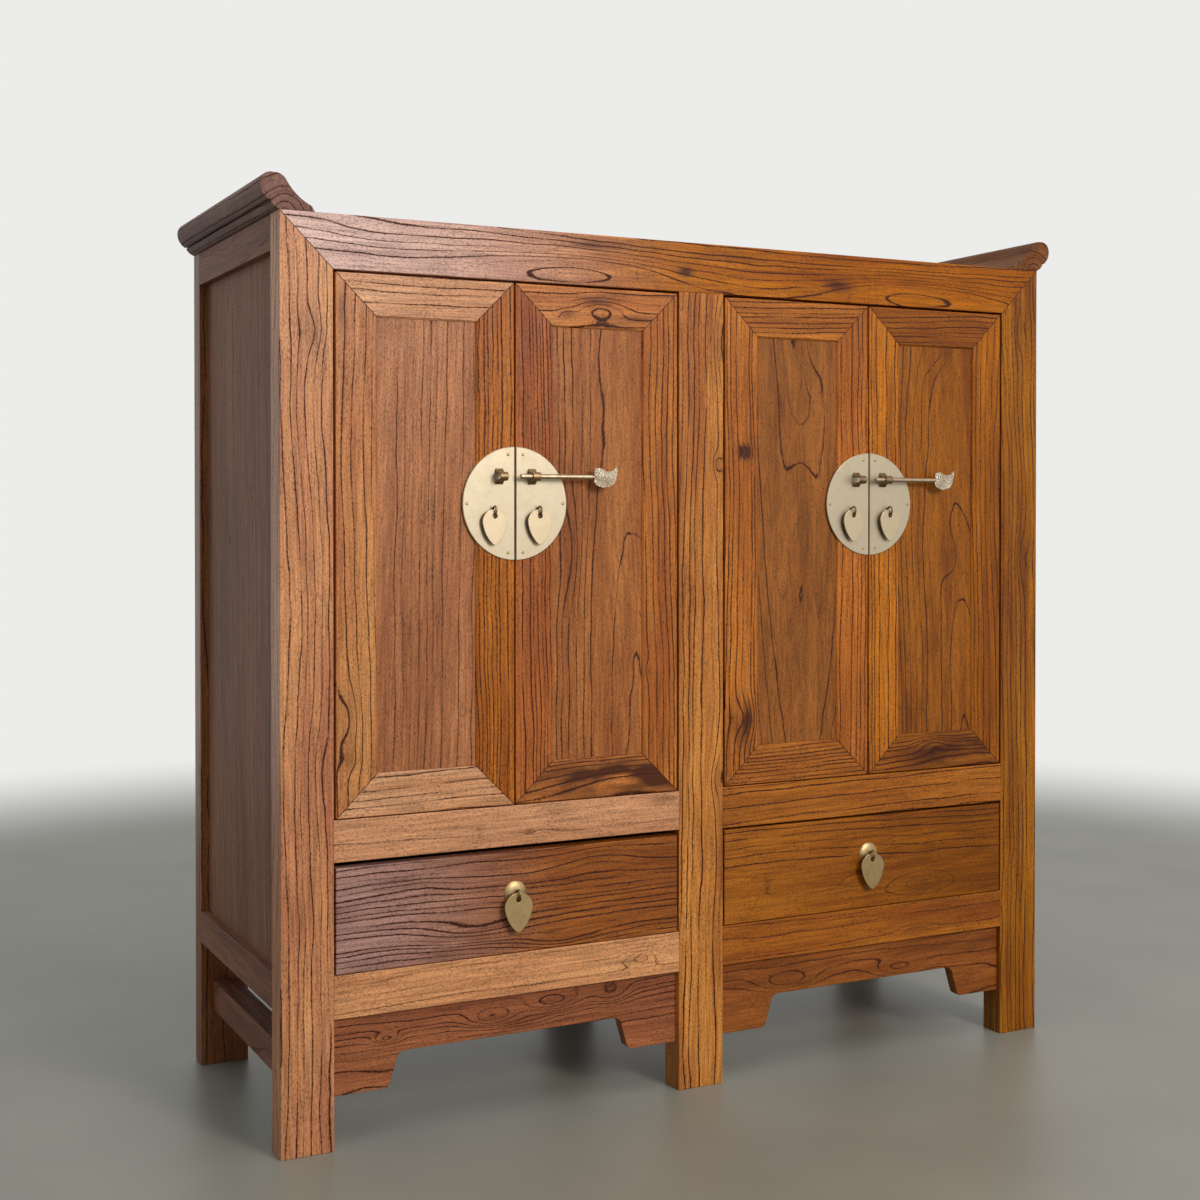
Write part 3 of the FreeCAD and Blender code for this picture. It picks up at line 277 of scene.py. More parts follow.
take(None)
bpy.ops.object.camera_add(
    location=CAMERA_PLACE,
    rotation=(math.radians(90 - CAMERA_DIP), 0, math.radians(CAMERA_TURN)),
)
camera = bpy.context.object
camera.name = "photo_camera"
camera.data.lens = LENS
camera.data.sensor_width = SENSOR
camera.data.shift_y = LENS_SHIFT
bpy.context.scene.camera = camera
print("camera at", [round(v, 3) for v in camera.location])

# %% [markdown]
# ## Colour
# Colours are written as sRGB hex values, the way a paint chart gives them,
# and one function turns them into the linear values that light works in.


# %% Colour helper
def linear(code):
    """A colour written as an sRGB hex code, in linear light."""
    parts = [int(code[spot : spot + 2], 16) / 255 for spot in (1, 3, 5)]
    return tuple(p / 12.92 if p <= 0.04045 else ((p + 0.055) / 1.055) ** 2.4 for p in parts) + (1.0,)


print("honey in linear light", [round(v, 3) for v in linear("#B4753F")])

# %% [markdown]
# ## Nodes
# One function adds a node with its settings and links, so that a long
# material reads from top to bottom. The kinds that come back most often, such
# as arithmetic, ramps, noise and mixed colours, get a short form of it.


# %% Node helpers
def add(tree, kind, inputs, output=0, **settings):
    """One node. An input is a value or another node's socket."""
    made = tree.nodes.new("ShaderNode" + kind)
    for key, value in settings.items():
        setattr(made, key, value)
    for key, value in inputs.items():
        if isinstance(value, bpy.types.NodeSocket):
            tree.links.new(value, made.inputs[key])
        else:
            made.inputs[key].default_value = value
    return made.outputs[output] if made.outputs else made


def maths(tree, way, *values, clamp=False):
    """One step of arithmetic with numbers."""
    return add(tree, "Math", dict(enumerate(values)), operation=way, use_clamp=clamp)


def vector(tree, way, *values):
    """One step with points or directions. A length or a dot product is one number."""
    output = 1 if way in ("LENGTH", "DOT_PRODUCT") else 0
    return add(tree, "VectorMath", dict(enumerate(values)), output, operation=way)


def ramp(tree, value, stops):
    """A grey for a value, from stops that each give a place and a grey."""
    followed = add(tree, "ValToRGB", {"Fac": value})
    bar = followed.node.color_ramp.elements
    while len(bar) < len(stops):
        bar.new(1.0)
    for element, (place, grey) in zip(bar, stops):
        element.position = place
        element.color = (grey, grey, grey, 1.0)
    return followed


def spread(tree, value, start, end, low=0.0, high=1.0, smooth=False):
    """Go from low to high while a value goes from start to end."""
    inputs = {"Value": value, "From Min": start, "From Max": end, "To Min": low, "To Max": high}
    return add(tree, "MapRange", inputs, interpolation_type="SMOOTHSTEP" if smooth else "LINEAR")


def noise(tree, point, scale, detail, seed=None, output=0):
    """Noise around a point. Each seed gives another pattern."""
    if seed is None:
        return add(tree, "TexNoise", {"Vector": point, "Scale": scale, "Detail": detail}, output=output)
    inputs = {"Vector": point, "W": seed, "Scale": scale, "Detail": detail}
    return add(tree, "TexNoise", inputs, output=output, noise_dimensions="4D")


def mix(tree, share, one, other):
    """One colour that turns into another as the share grows."""
    return add(tree, "Mix", {0: share, 6: one, 7: other}, data_type="RGBA", output=2)


def new_material(name):
    """An empty material and its tree."""
    made = bpy.data.materials.new(name)
    made.use_nodes = True
    made.node_tree.nodes.clear()
    return made, made.node_tree


print("materials so far", len(bpy.data.materials))

# %% [markdown]
# ## Oiled elm
# Elm lays down a band of wide pores each year and then dense wood. Cut along
# the trunk, the bands show as dark open lines a few millimetres apart,
# straight at the edge of the log and in tall arches where the cut passes near
# its heart. The boards here are stained honey to red brown and waxed, so the
# dark stays in the pores and the face has a soft shine.
#
# A picture of stripes would not turn the corner at an edge, so the pattern is
# a solid one: the distance from the log's heart, bent by slow noise and
# counted in years. First a point needs its place in the log. Each board gets
# a heart of its own, off to the side for straight lines, or close behind the
# face and leaning for arches.

# %% A point in its log
TURN = {"X": (0, -90, 0), "Y": (90, 0, 0), "Z": (0, 0, 0)}  # lays the log's axis along Z
# the smaller its share, the longer a pattern runs along the board
SHARES = {"slow": 0.36, "quick": 0.4, "pore": 0.42, "long": 0.05, "fade": 0.15}


def upright(tree, vector, along, tilt):
    """Turn a point or a direction so that its log stands upright."""
    turn = [math.radians(v) for v in TURN[along]]
    stood = add(tree, "Mapping", {"Vector": vector, "Rotation": turn})
    lean = (math.radians(tilt[0]), math.radians(tilt[1]), 0)
    return add(tree, "Mapping", {"Vector": stood, "Rotation": lean})


def in_log(tree, place, heart, along, tilt):
    """A point seen from the log's heart, and its copies for patterns that run along the board."""
    heart = tuple(v * MM for v in heart)
    moved = vector(tree, "SUBTRACT", place, heart)
    point = upright(tree, moved, along, tilt)
    ways = {}
    for key, share in SHARES.items():
        ways[key] = vector(tree, "MULTIPLY", point, (1, 1, share))
    return point, ways


print("a log lies along", ", ".join(TURN))

# %% [markdown]
# ## Bends
# No trunk grows straight. Slow noise bends the years and quick noise makes
# them wobble. After that only the way out from the log's axis counts.

# %% Bends
BEND_SCALE = 5.0  # slow bends, about 200 mm across
WOBBLE_SCALE = 45.0  # small wobbles, about 22 mm
WOBBLE = 5  # mm from one side to the other


def from_axis(tree, point, ways, bend, seed):
    """The way out from the log's axis to a point, bent by up to a distance in mm."""
    slow = noise(tree, ways["slow"], BEND_SCALE, 3.0, seed, output=1)
    quick = noise(tree, ways["quick"], WOBBLE_SCALE, 3.0, seed, output=1)
    wide, small = (2 * bend * MM,) * 3, (WOBBLE * MM,) * 3
    back = (-(bend + WOBBLE / 2) * MM,) * 3
    pushed = vector(tree, "MULTIPLY_ADD", slow, wide, point)
    pushed = vector(tree, "MULTIPLY_ADD", quick, small, pushed)
    pushed = vector(tree, "ADD", pushed, back)
    return vector(tree, "MULTIPLY", pushed, (1, 1, 0))


print("bends about", round(1000 / BEND_SCALE), "mm across, wobbles about", round(1000 / WOBBLE_SCALE))

# %% [markdown]
# ## Knots
# A branch pushes the years aside around it and stains the wood. Each knot is
# a soft bump, strongest in the middle of its oval, that is added to the
# distance from the axis.

# %% Knots
KNOT_RIM = 0.37  # what is left of a knot at the rim of its oval


def grow_knots(tree, place, reach, knots):
    """Lift the years around each knot, and note where the wood is stained."""
    stain = None
    for knot_x, knot_z, wide, high, lift, shade in knots:
        middle, size = (knot_x * MM, 0, knot_z * MM), (1 / (wide * MM), 0, 1 / (high * MM))
        gap = vector(tree, "SUBTRACT", place, middle)
        gap = vector(tree, "MULTIPLY", gap, size)
        square = vector(tree, "DOT_PRODUCT", gap, gap)
        fall = maths(tree, "POWER", KNOT_RIM, square)
        if lift:
            reach = maths(tree, "MULTIPLY_ADD", fall, lift * MM, reach)
        if shade:
            stain = maths(tree, "MULTIPLY_ADD", fall, shade, stain or 0.0)
    return reach, stain


print("a knot fades to", KNOT_RIM, "at its rim")

# %% [markdown]
# ## Years
# The distance from the axis, divided by the width of a year, counts the
# years. A Voronoi pattern along one line makes them uneven and tells how far
# the next border is, where the pores lie. A face that only grazes a year
# would cut its border into a broad smear, so that distance is measured along
# the face.

# %% Years
UNEVEN = 0.95  # 0 would make all years the same
GRAZE = 1.05  # just over 1, so that a face along the border divides by more than nothing


def count_years(tree, reach, width):
    """The number of a point's year, and the distance to its border."""
    years = maths(tree, "DIVIDE", reach, width)
    border = add(tree, "TexVoronoi", {"W": years, "Scale": 1.0, "Randomness": UNEVEN},
                 voronoi_dimensions="1D", feature="DISTANCE_TO_EDGE")
    return years, maths(tree, "MULTIPLY", border, width)


def along_face(tree, border, across, along, tilt):
    """The distance to the border, measured along the face."""
    facing = upright(tree, add(tree, "TexCoord", {}, output=1), along, tilt)
    outward = vector(tree, "NORMALIZE", across)
    facing = vector(tree, "DOT_PRODUCT", facing, outward)
    grazing = maths(tree, "MULTIPLY", facing, facing)
    grazing = maths(tree, "SUBTRACT", GRAZE, grazing)
    grazing = maths(tree, "SQRT", grazing)
    return maths(tree, "DIVIDE", border, grazing)


print("a line is narrowed at most", round(1 / math.sqrt(GRAZE - 1), 1), "times")

# %% [markdown]
# ## Lines of pores
# The pores of a year make a ragged line about a millimetre wide. No line is
# dark all along: some years are faint, each line comes and goes, and it is
# broken where the pores are few. Single pores lie between the lines as
# specks.

# %% Weight of a line
FADE_SCALE = 90.0  # a line comes and goes over about 11 mm across and 70 mm along
FAINT_YEARS = [(0.3, 0.15), (0.44, 0.6), (0.57, 1.0)]
FADING = [(0.34, 0.2), (0.52, 1.0)]


def line_weight(tree, years, ways, stain, seed):
    """How strong the line of a point's year is. A knot makes it stronger."""
    own = add(tree, "TexNoise", {"W": years, "Scale": 0.9, "Detail": 1.0}, noise_dimensions="1D")
    own = ramp(tree, own, FAINT_YEARS)
    fade = noise(tree, ways["fade"], FADE_SCALE, 2.0, seed)
    fade = ramp(tree, fade, FADING)
    weight = maths(tree, "MULTIPLY", own, fade)
    if stain:
        weight = maths(tree, "ADD", stain, weight, clamp=True)
    return weight


print("the faintest years keep", FAINT_YEARS[0][1], "of their line")

# %% [markdown]
# ## Rim of a line
# Noise pushes the distance to the border to and fro, which makes the rim
# ragged. Two ramps then read that distance: a steep one for the pores and a
# slow one for the darker wood beside them.

# %% Rim of a line
PORE_SCALE = 760.0  # pores drawn 1.3 mm wide, larger than real ones, so that they show
LINE_WIDTH = 1.2  # the open pores of one year, in mm
RAGGED_SCALE = PORE_SCALE * 0.7  # about 1.9 mm
RAGGED, DRAWN_IN = 1.8, 1.15  # in half widths
SOLID_TO, GONE_AT, SHADE_TO = 0.5, 2.0, 4  # in half widths


def line_rim(tree, border, ways):
    """How much of a line, and of the shade beside it, a point has."""
    half = LINE_WIDTH / 2 * MM
    ragged = noise(tree, ways["pore"], RAGGED_SCALE, 1.0)
    border = maths(tree, "MULTIPLY_ADD", ragged, -RAGGED * half, border)
    border = maths(tree, "ADD", border, DRAWN_IN * half)
    edge = spread(tree, border, SOLID_TO * half, GONE_AT * half, low=1.0, high=0.0)
    return edge, spread(tree, border, 0.0, SHADE_TO * half, low=1.0, high=0.0, smooth=True)


print("a line is", LINE_WIDTH, "mm wide")

# %% [markdown]
# ## Pores
# The line is broken by its pores, and the densest of them also show between
# the lines. One value holds both, because the same pores that are dark are
# also open and dull later on.

# %% Pores
MANY_PORES = [(0.4, 0.0), (0.58, 1.0)]
LONE_PORES = [(0.54, 0.0), (0.68, 1.0)]
LEAST_LINE, BROKEN = 0.72, 0.35  # a line between its pores, and what they add
SPECK, DARKNESS = 0.38, 1.7


def pore_darkness(tree, edge, weight, pore, strength):
    """How dark a point is from pores, 0 to 1."""
    holes = ramp(tree, pore, MANY_PORES)
    broken = maths(tree, "MULTIPLY_ADD", holes, BROKEN, LEAST_LINE)
    drawn = maths(tree, "MULTIPLY", edge, weight)
    drawn = maths(tree, "MULTIPLY", drawn, broken)
    dots = ramp(tree, pore, LONE_PORES)
    specks = maths(tree, "MULTIPLY", dots, SPECK)
    return maths(tree, "MULTIPLY_ADD", drawn, DARKNESS * strength, specks, clamp=True)


print("a lone pore is", SPECK, "dark")

# %% [markdown]
# ## Colour of the wood
# Honey turns to red in patches and in bands, and each streak is a little
# lighter or darker. Some pieces are darker at one end, and some nodes hold
# two boards side by side, so the right end can have colours and years of its
# own. On some boards the pale left end is painted sheen.

# %% Colour of the wood
CLOUD_SCALE = 8.0  # patches of colour, about 125 mm
BAND_SCALE = 62.0  # bands of colour about 16 mm wide
STREAK_SCALE = 330.0  # streaks about 3 mm wide
STREAK, GRIT, LIGHT = 1.6, -0.9, 0.7  # how much streaks and pores change the light, and its base


def two_ends(tree, place, honey, red, ring, far):
    """The two colours and the width of a year, which may change towards the right."""
    colours = [linear(honey), linear(red)]
    if not far:
        return colours, ring * MM
    start, end, far_honey, far_red, far_ring = far
    spot = add(tree, "SeparateXYZ", {0: place})
    spot = spread(tree, spot, start * MM, end * MM, smooth=True)
    colours = [mix(tree, spot, near, linear(other)) for near, other in zip(colours, (far_honey, far_red))]
    return colours, maths(tree, "MULTIPLY_ADD", spot, (far_ring - ring) * MM, ring * MM)


def warm_wood(tree, ways, colours, pore, seed):
    """The colour of the wood between the lines."""
    cloud = noise(tree, ways["slow"], CLOUD_SCALE, 3.0, seed + 3)
    band = noise(tree, ways["long"], BAND_SCALE, 2.0, seed + 5)
    blend = maths(tree, "ADD", cloud, band)
    blend = spread(tree, blend, 0.8, 1.2)
    warm = mix(tree, blend, *colours)
    streak = noise(tree, ways["long"], STREAK_SCALE, 3.0, seed)
    grit = maths(tree, "MULTIPLY_ADD", pore, GRIT, LIGHT)
    lifted = maths(tree, "MULTIPLY_ADD", streak, STREAK, grit)
    return add(tree, "HueSaturation", {"Color": warm, "Value": lifted})


print("patches of", 1000 / CLOUD_SCALE, "mm")

# %% [markdown]
# ## Stain beside lines and in knots
# Oil goes deeper next to open pores and in a knot's short fibres, so the
# wood turns plum brown there. In a knot it does so unevenly.

# %% Stain
SHADE = 0.26
STAIN, STAIN_SCALE = 0.8, 40.0  # blotches about 25 mm wide


def stained(tree, shade, weight, stain, ways, strength, seed):
    """How far a point has turned plum brown, 0 to 1."""
    shade = maths(tree, "MULTIPLY", shade, weight)
    shade = maths(tree, "MULTIPLY", shade, SHADE * strength)
    if not stain:
        return shade
    uneven = noise(tree, ways["slow"], STAIN_SCALE, 4.0, seed + 7)
    uneven = spread(tree, uneven, 0.3, 0.62)
    knot = maths(tree, "MULTIPLY", stain, uneven)
    return maths(tree, "MULTIPLY_ADD", knot, STAIN, shade, clamp=True)


print("beside a line the wood turns by", SHADE)

# %% [markdown]
# ## Mitres
# Where two boards meet at 45 degrees, wax fills the joint and it shows as a
# dark hairline. Both boards lie in the same plane, so the solids alone would
# hide it. The line runs inwards from each corner of the frame.

# %% Mitre line
SEAM_WIDTH = 0.7  # in mm
SEAM_CORE, SEAM_RIM, SEAM_DARK = 0.5, 1.6, 0.85  # two distances in widths, and the darkest share
SEAM_COLOUR = linear("#3A1406")


def draw_mitre(tree, place, colour, seam):
    """Darken the lines that run inwards from the corners of a frame."""
    middle_x, middle_z, half_x, half_z = seam
    gap = vector(tree, "SUBTRACT", place, (middle_x, 0, middle_z))
    gap = vector(tree, "ABSOLUTE", gap)
    gap = vector(tree, "DOT_PRODUCT", gap, (1, 0, -1))
    gap = maths(tree, "ADD", gap, half_z - half_x)
    gap = maths(tree, "ABSOLUTE", gap)
    width = SEAM_WIDTH * MM
    hair = spread(tree, gap, SEAM_CORE * width, SEAM_RIM * width, low=SEAM_DARK, high=0.0)
    return mix(tree, hair, colour, SEAM_COLOUR)


print("mitre line", SEAM_WIDTH, "mm")

# %% [markdown]
# ## The whole recipe
# The steps come together in one material. The pores are open, so they dent
# the surface and stay dull under the wax, and a planed face is never quite
# flat, so broad shallow waves bend its shine.

# %% Elm material
WAVE_SCALE = 22.0  # waves of the plane, about 45 mm
WAVE_DEPTH, PORE_DEPTH = 1.2, 0.3  # mm
PORE_DULL = 0.25  # how much rougher a pore is than the face


def elm(name, along, heart, tilt=(0, 0), ring=8.0, honey="#B4753F", red="#8E4E2B", line="#3E1503",
        plum="#502810", bend=20.0, strength=1.0, knots=(), far=None, seam=None, gloss=0.33, seed=0.0):
    """Oiled elm. Heart is a point on the log's axis and ring the mean width of a year, in mm."""
    made, tree = new_material(name)
    place = add(tree, "TexCoord", {}, output=3)
    colours, width = two_ends(tree, place, honey, red, ring, far)
    point, ways = in_log(tree, place, heart, along, tilt)
    across = from_axis(tree, point, ways, bend, seed)
    reach = vector(tree, "LENGTH", across)
    reach, stain = grow_knots(tree, place, reach, knots)
    years, border = count_years(tree, reach, width)
    border = along_face(tree, border, across, along, tilt)

    pore = noise(tree, ways["pore"], PORE_SCALE, 2.0)
    weight = line_weight(tree, years, ways, stain, seed)
    edge, shade = line_rim(tree, border, ways)
    dark = pore_darkness(tree, edge, weight, pore, strength)
    shade = stained(tree, shade, weight, stain, ways, strength, seed)
    warm = mix(tree, shade, warm_wood(tree, ways, colours, pore, seed), linear(plum))
    colour = mix(tree, dark, warm, linear(line))
    if seam:
        colour = draw_mitre(tree, place, colour, seam)

    plane = noise(tree, place, WAVE_SCALE, 1.0)
    waves = add(tree, "Bump", {"Height": plane, "Distance": WAVE_DEPTH * MM, "Strength": 0.5})
    dents = {"Height": dark, "Distance": PORE_DEPTH * MM, "Strength": 0.7, "Normal": waves}
    grooves = add(tree, "Bump", dents, invert=True)
    shine = maths(tree, "MULTIPLY_ADD", dark, PORE_DULL, gloss)
    wood = add(tree, "BsdfPrincipled", {"Base Color": colour, "Roughness": shine, "Normal": grooves,
                                        "Specular IOR Level": 0.2})
    add(tree, "OutputMaterial", {"Surface": wood})
    return made


print("elm ready")

# %% [markdown]
# ## Posts
# A cabinet maker sorts boards by eye: straight lines for posts and stiles,
# arches for panels. The tables do the same. Each entry gives the way the
# grain runs, how far the log's heart lies from the middle of the piece, how
# much it leans, the width of a year and the board's colours, which on some
# boards at the left also hold painted sheen and on the sides painted shade.
# A knot is its place across and up, its half width and half height, how far
# it lifts the years, all in millimetres, and how dark it stains the wood.

# %% Posts
POSTS = {
    "front_left_post": dict(
        along="Z", off=(120, 90, 0), tilt=(0.5, 1.2), ring=8.5, bend=28, honey="#D39663", red="#B47451",
        knots=((-535, 985, 14, 26, 8, 0.7), (-548, 640, 30, 110, 9, 0), (-527, 470, 16, 60, -7, 0.2)),
    ),
    "front_centre_post": dict(
        along="Z", off=(-120, -20, 0), tilt=(0.2, -0.7), ring=9.5, bend=32, honey="#CD8940",
        red="#A25F2A", strength=1.25,
        knots=((24, 832, 7, 14, 14, 0.7), (30, 1000, 14, 70, 16, 0.3), (20, 520, 14, 60, -8, 0.2),
               (24, 410, 10, 24, 10, 0.6)),
    ),
    "front_right_post": dict(
        along="Z", off=(-90, 80, 0), tilt=(0.2, 0.7), ring=6, honey="#A26411", red="#7C4209",
        knots=((548, 697, 14, 40, 10, 0.6), (543, 1037, 12, 30, 8, 0.5)),
    ),
    "rear_left_post": dict(along="Z", off=(60, 90, 0), tilt=(0.6, 0.9), honey="#9A653C", red="#7A4527"),
    "rear_centre_post": dict(along="Z", off=(80, 60, 0), tilt=(0.3, 0.9), honey="#8E5C38", red="#744226"),
    "rear_right_post": dict(along="Z", off=(-60, 90, 0), tilt=(0.6, 0.9), honey="#9A653C", red="#7A4527"),
}
print(len(POSTS), "posts")

# %% [markdown]
# ## Rails of the front
# The rails on the left are paler and pinker, and those on the right darker
# and more golden. Part of the pale pink on the left is painted sheen: the
# shine of light from the front is painted into the colours there. The top
# rail is one board that changes from one to the other, and the last value of
# its far end is the width of a year there; its pale pink left end is painted
# sheen. The bottom rails and the aprons are two boards each, and the left
# bottom rail is paler partly in its own wood and partly by painted sheen.

# %% Rails
RAILS = {
    "top_front_rail": dict(
        # the pale pink of the left end is painted sheen, which fades into the gold far end
        along="X", off=(0, 30, -75), tilt=(0.6, 0.5), ring=11, honey="#D9B6A9", red="#C09B90",
        far=(-560, 0, "#B26908", "#8E4A04", 9), strength=1.15,
        knots=((-190, 1078, 140, 22, -36, 0), (350, 1076, 130, 22, -36, 0), (-24, 1086, 12, 7, 0, 1.6),
               (218, 1082, 20, 7, 0, 2.0), (-150, 1112, 60, 5, 0, 1.0), (30, 1110, 50, 5, 0, 1.0),
               (-450, 1108, 70, 16, 8, 0.2)),
    ),
    "left_middle_rail": dict(
        # pale partly in its own wood and partly by painted sheen
        along="X", off=(0, 60, -60), tilt=(0.8, 0.8), ring=20, honey="#CF976D", red="#B9815B", strength=0.45,
        knots=((-209, 381, 20, 9, 10, 0.5), (-320, 372, 7, 4, 4, 0.9), (-252, 364, 7, 4, 4, 0.9),
               (-60, 390, 26, 8, 6, 0.7)),
    ),
    "right_middle_rail": dict(
        along="X", off=(0, 30, -120), tilt=(0.2, 0.8), ring=8.5, honey="#AB6620", red="#8F5017",
    ),
    "bottom_rails": dict(
        # the paler left board is partly its own tone and partly painted sheen
        along="X", off=(0, 60, 90), tilt=(0.4, 0.6), ring=13, honey="#DFA26D", red="#BF8458",
        far=(-30, 30, "#AA651D", "#894915", 9), strength=0.55,
        knots=((-90, 186, 20, 11, 26, 0.5), (-118, 182, 26, 5, 6, 0.9), (354, 171, 30, 12, 12, 0.5)),
    ),
    "aprons": dict(
        along="X", off=(0, 45, -30), tilt=(1.0, 0.9), ring=7, honey="#A4653E", red="#874C31", strength=1.1,
        far=(-30, 30, "#965724", "#794018", 9),
        knots=((-440, 124, 16, 7, 20, 0.6), (-300, 132, 34, 11, 26, 0.3), (-255, 120, 40, 7, 8, 0.7),
               (-215, 140, 44, 13, 26, 0.4), (-130, 140, 26, 14, 16, 0.4), (141, 122, 50, 14, 22, 0.4),
               (330, 118, 40, 12, 20, 0.3)),
    ),
}
print(len(RAILS), "nodes of rails")

# %% [markdown]
# ## Top, ends and sides
# The sides get little wax, so their boards are rougher and their lines
# calmer. They turn away from the light, and their darker, greyer colours are
# partly their own and partly painted shade; the left flange is painted
# greyer than the right one.

# %% Top and sides
FLANGE = dict(along="Y", tilt=(0.3, 0.3), gloss=0.55, ring=6.5, bend=6, strength=0.8)
# the darker, greyer colours of the side boards are partly painted shade
SIDE_RAIL = dict(along="Y", gloss=0.55, ring=13, strength=0.45, honey="#8E6148", red="#704636")
SIDE_PANEL = dict(along="Z", tilt=(1.0, 0.5), gloss=0.55, ring=17, bend=30, strength=0.45, honey="#92664B",
                  red="#744D3A")
TOP_AND_SIDES = {
    "top_panel": dict(along="X", off=(0, 330, 60), tilt=(0.4, 0.5), ring=9, honey="#A56A3C", red="#86502E"),
    # the left flange is painted greyer than the right one, a painted shade
    "left_flange": dict(off=(-4, 0, -26), honey="#876355", red="#68483F", **FLANGE),
    "right_flange": dict(off=(4, 0, -26), honey="#8C5A2C", red="#6A3E1C", **FLANGE),
    "side_top_rails": dict(off=(60, 0, 170), tilt=(0.6, 0.6), **SIDE_RAIL),
    "side_bottom_rails": dict(off=(0, 0, -90), tilt=(0.6, 0.9), **SIDE_RAIL),
    "side_stretchers": dict(off=(40, 0, 80), tilt=(0.6, 0.6), **SIDE_RAIL),
    "left_side_panel": dict(off=(50, 50, 0), **SIDE_PANEL),
    "right_side_panel": dict(off=(-50, 50, 0), **SIDE_PANEL),
}
print(len(TOP_AND_SIDES), "nodes of top and sides")

# %% [markdown]
# ## Drawer fronts
# Each front is one wide board. A pale sheen is painted into the colours at
# the left end of the left one, and the right one darkens to the right.

# %% Drawer fronts
DRAWER_FRONTS = {
    "left_drawer_front": dict(
        # the pale pink left end is painted sheen, which fades into the darker far end
        along="X", off=(0, 30, 130), tilt=(0.5, 0.8), ring=6.5, honey="#B58E82", red="#926A5F", strength=1.15,
        far=(-490, -180, "#A76328", "#81451A", 7),
        knots=((-320, 246, 70, 16, -16, 0.6), (-420, 310, 60, 12, 6, 0.6), (-209, 221, 60, 12, -10, 0.5),
               (-150, 318, 60, 14, 8, 0.3)),
    ),
    "right_drawer_front": dict(
        along="X", off=(0, 40, -40), tilt=(1.0, 0.7), ring=10, bend=12, honey="#AA671B", red="#8A4B11",
        far=(150, 480, "#8F5103", "#6E3802", 9),
        knots=((157, 248, 90, 20, 18, 0.2), (371, 238, 50, 18, -18, 0.4)),
    ),
}
print(len(DRAWER_FRONTS), "drawer fronts")

# %% [markdown]
# ## Doors
# A door is a mitred frame around a panel. The two stiles of a door come from
# two boards, so the far values give the right one its own colours. Every
# panel's heart lies close behind its face, which draws the arches.

# %% Doors
DOOR_BOARDS = {
    1: dict(
        stiles=dict(
            honey="#CD8F53", red="#B37043", ring=13, far=(-420, -360, "#B76B1D", "#954D12", 5.5),
            knots=((-491, 519, 16, 40, 16, 0.5), (-489, 470, 14, 14, 8, 0.5), (-498, 1010, 5, 26, 0, 0.8)),
        ),
        # these rails are paler partly in their own wood and partly by painted sheen
        rails=dict(honey="#D09E75", red="#C4895D", ring=11, strength=0.8),
        panel=dict(
            honey="#B3764C", red="#9A603C", ring=9.5, off=(-90, 40, 0), tilt=(1.2, -1.6), strength=0.6,
            bend=16, knots=((-310, 960, 22, 60, 14, 0),),
        ),
    ),
    2: dict(
        stiles=dict(
            honey="#B4682F", red="#904A20", ring=5.5, far=(-180, -110, "#C17B33", "#9D5622", 9),
            knots=((-80, 560, 5, 9, 5, 0.8),),
        ),
        rails=dict(
            honey="#C27A3C", red="#A15A28", ring=9,
            knots=((-150, 1030, 34, 14, 22, 0.2), (-152, 1041, 24, 6, 0, 1.3), (-122, 1050, 22, 5, 0, 0.9),
                   (-80, 1021, 50, 5, 0, 1.0), (-198, 1022, 12, 6, 8, 0.9), (-110, 424, 130, 22, 16, 2.3)),
        ),
        panel=dict(
            honey="#AD6E39", red="#915329", ring=10, off=(56, 34, 0), tilt=(3.0, 0.8), strength=1.1, bend=26,
            knots=((-190, 720, 14, 60, 12, 0.3), (-120, 880, 30, 90, 10, 0)),
        ),
    ),
    3: dict(
        stiles=dict(
            honey="#C97B2D", red="#A25C20", ring=7, far=(140, 200, "#C2722A", "#9C561C", 8),
            knots=((68, 850, 11, 8, 9, 3.0), (66, 490, 20, 24, 12, 1.4), (64, 452, 12, 36, 0, 1.0)),
        ),
        rails=dict(honey="#B8702A", red="#96541C", ring=6),
        panel=dict(
            honey="#9B5F28", red="#7C481B", ring=11, off=(6, 44, 0), tilt=(-4.5, 0.4), strength=1.2, bend=12,
            knots=((180, 1040, 24, 90, 34, 0.3), (178, 940, 12, 26, 0, 0.6), (160, 700, 22, 150, 24, 0.2),
                   (160, 560, 16, 40, 0, 0.4)),
        ),
    ),
    4: dict(
        stiles=dict(
            honey="#BE721A", red="#985410", ring=7, far=(370, 440, "#AC6408", "#864804", 10),
            knots=((500, 800, 18, 160, 10, 0.1),),
        ),
        rails=dict(
            plum="#4A2206", honey="#A8641A", red="#82460E", ring=7,
            knots=((385, 436, 26, 10, 12, 0.3), (440, 424, 120, 24, 14, 1.5)),
        ),
        panel=dict(
            honey="#9A5B15", red="#7B4108", ring=10, off=(46, 34, 0), tilt=(4.0, 1.6), strength=1.1, bend=26,
            knots=((395, 1000, 26, 30, 12, 0.2), (415, 699, 20, 30, 10, 0.6)),
        ),
    ),
}
print(len(DOOR_BOARDS), "doors")

# %% [markdown]
# ## Dressing the boards
# Each node gets the material of its own board. The seed follows from the
# board's place in the table, so that no two boards bend alike. Stiles and
# rails of a door share the frame whose corners their mitres run from, and so
# do the top rail and the two front posts beside it.


# %% Dress the boards
def dress(node, material):
    """Give a node of the frame one material."""
    frame["nodes"][node].data.materials.clear()
    frame["nodes"][node].data.materials.append(material)


def heart_of(node, off):
    """A point in mm, at an offset from the middle of a node."""
    low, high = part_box(node)
    return tuple((low[n] + high[n]) / 2 / MM + off[n] for n in range(3))


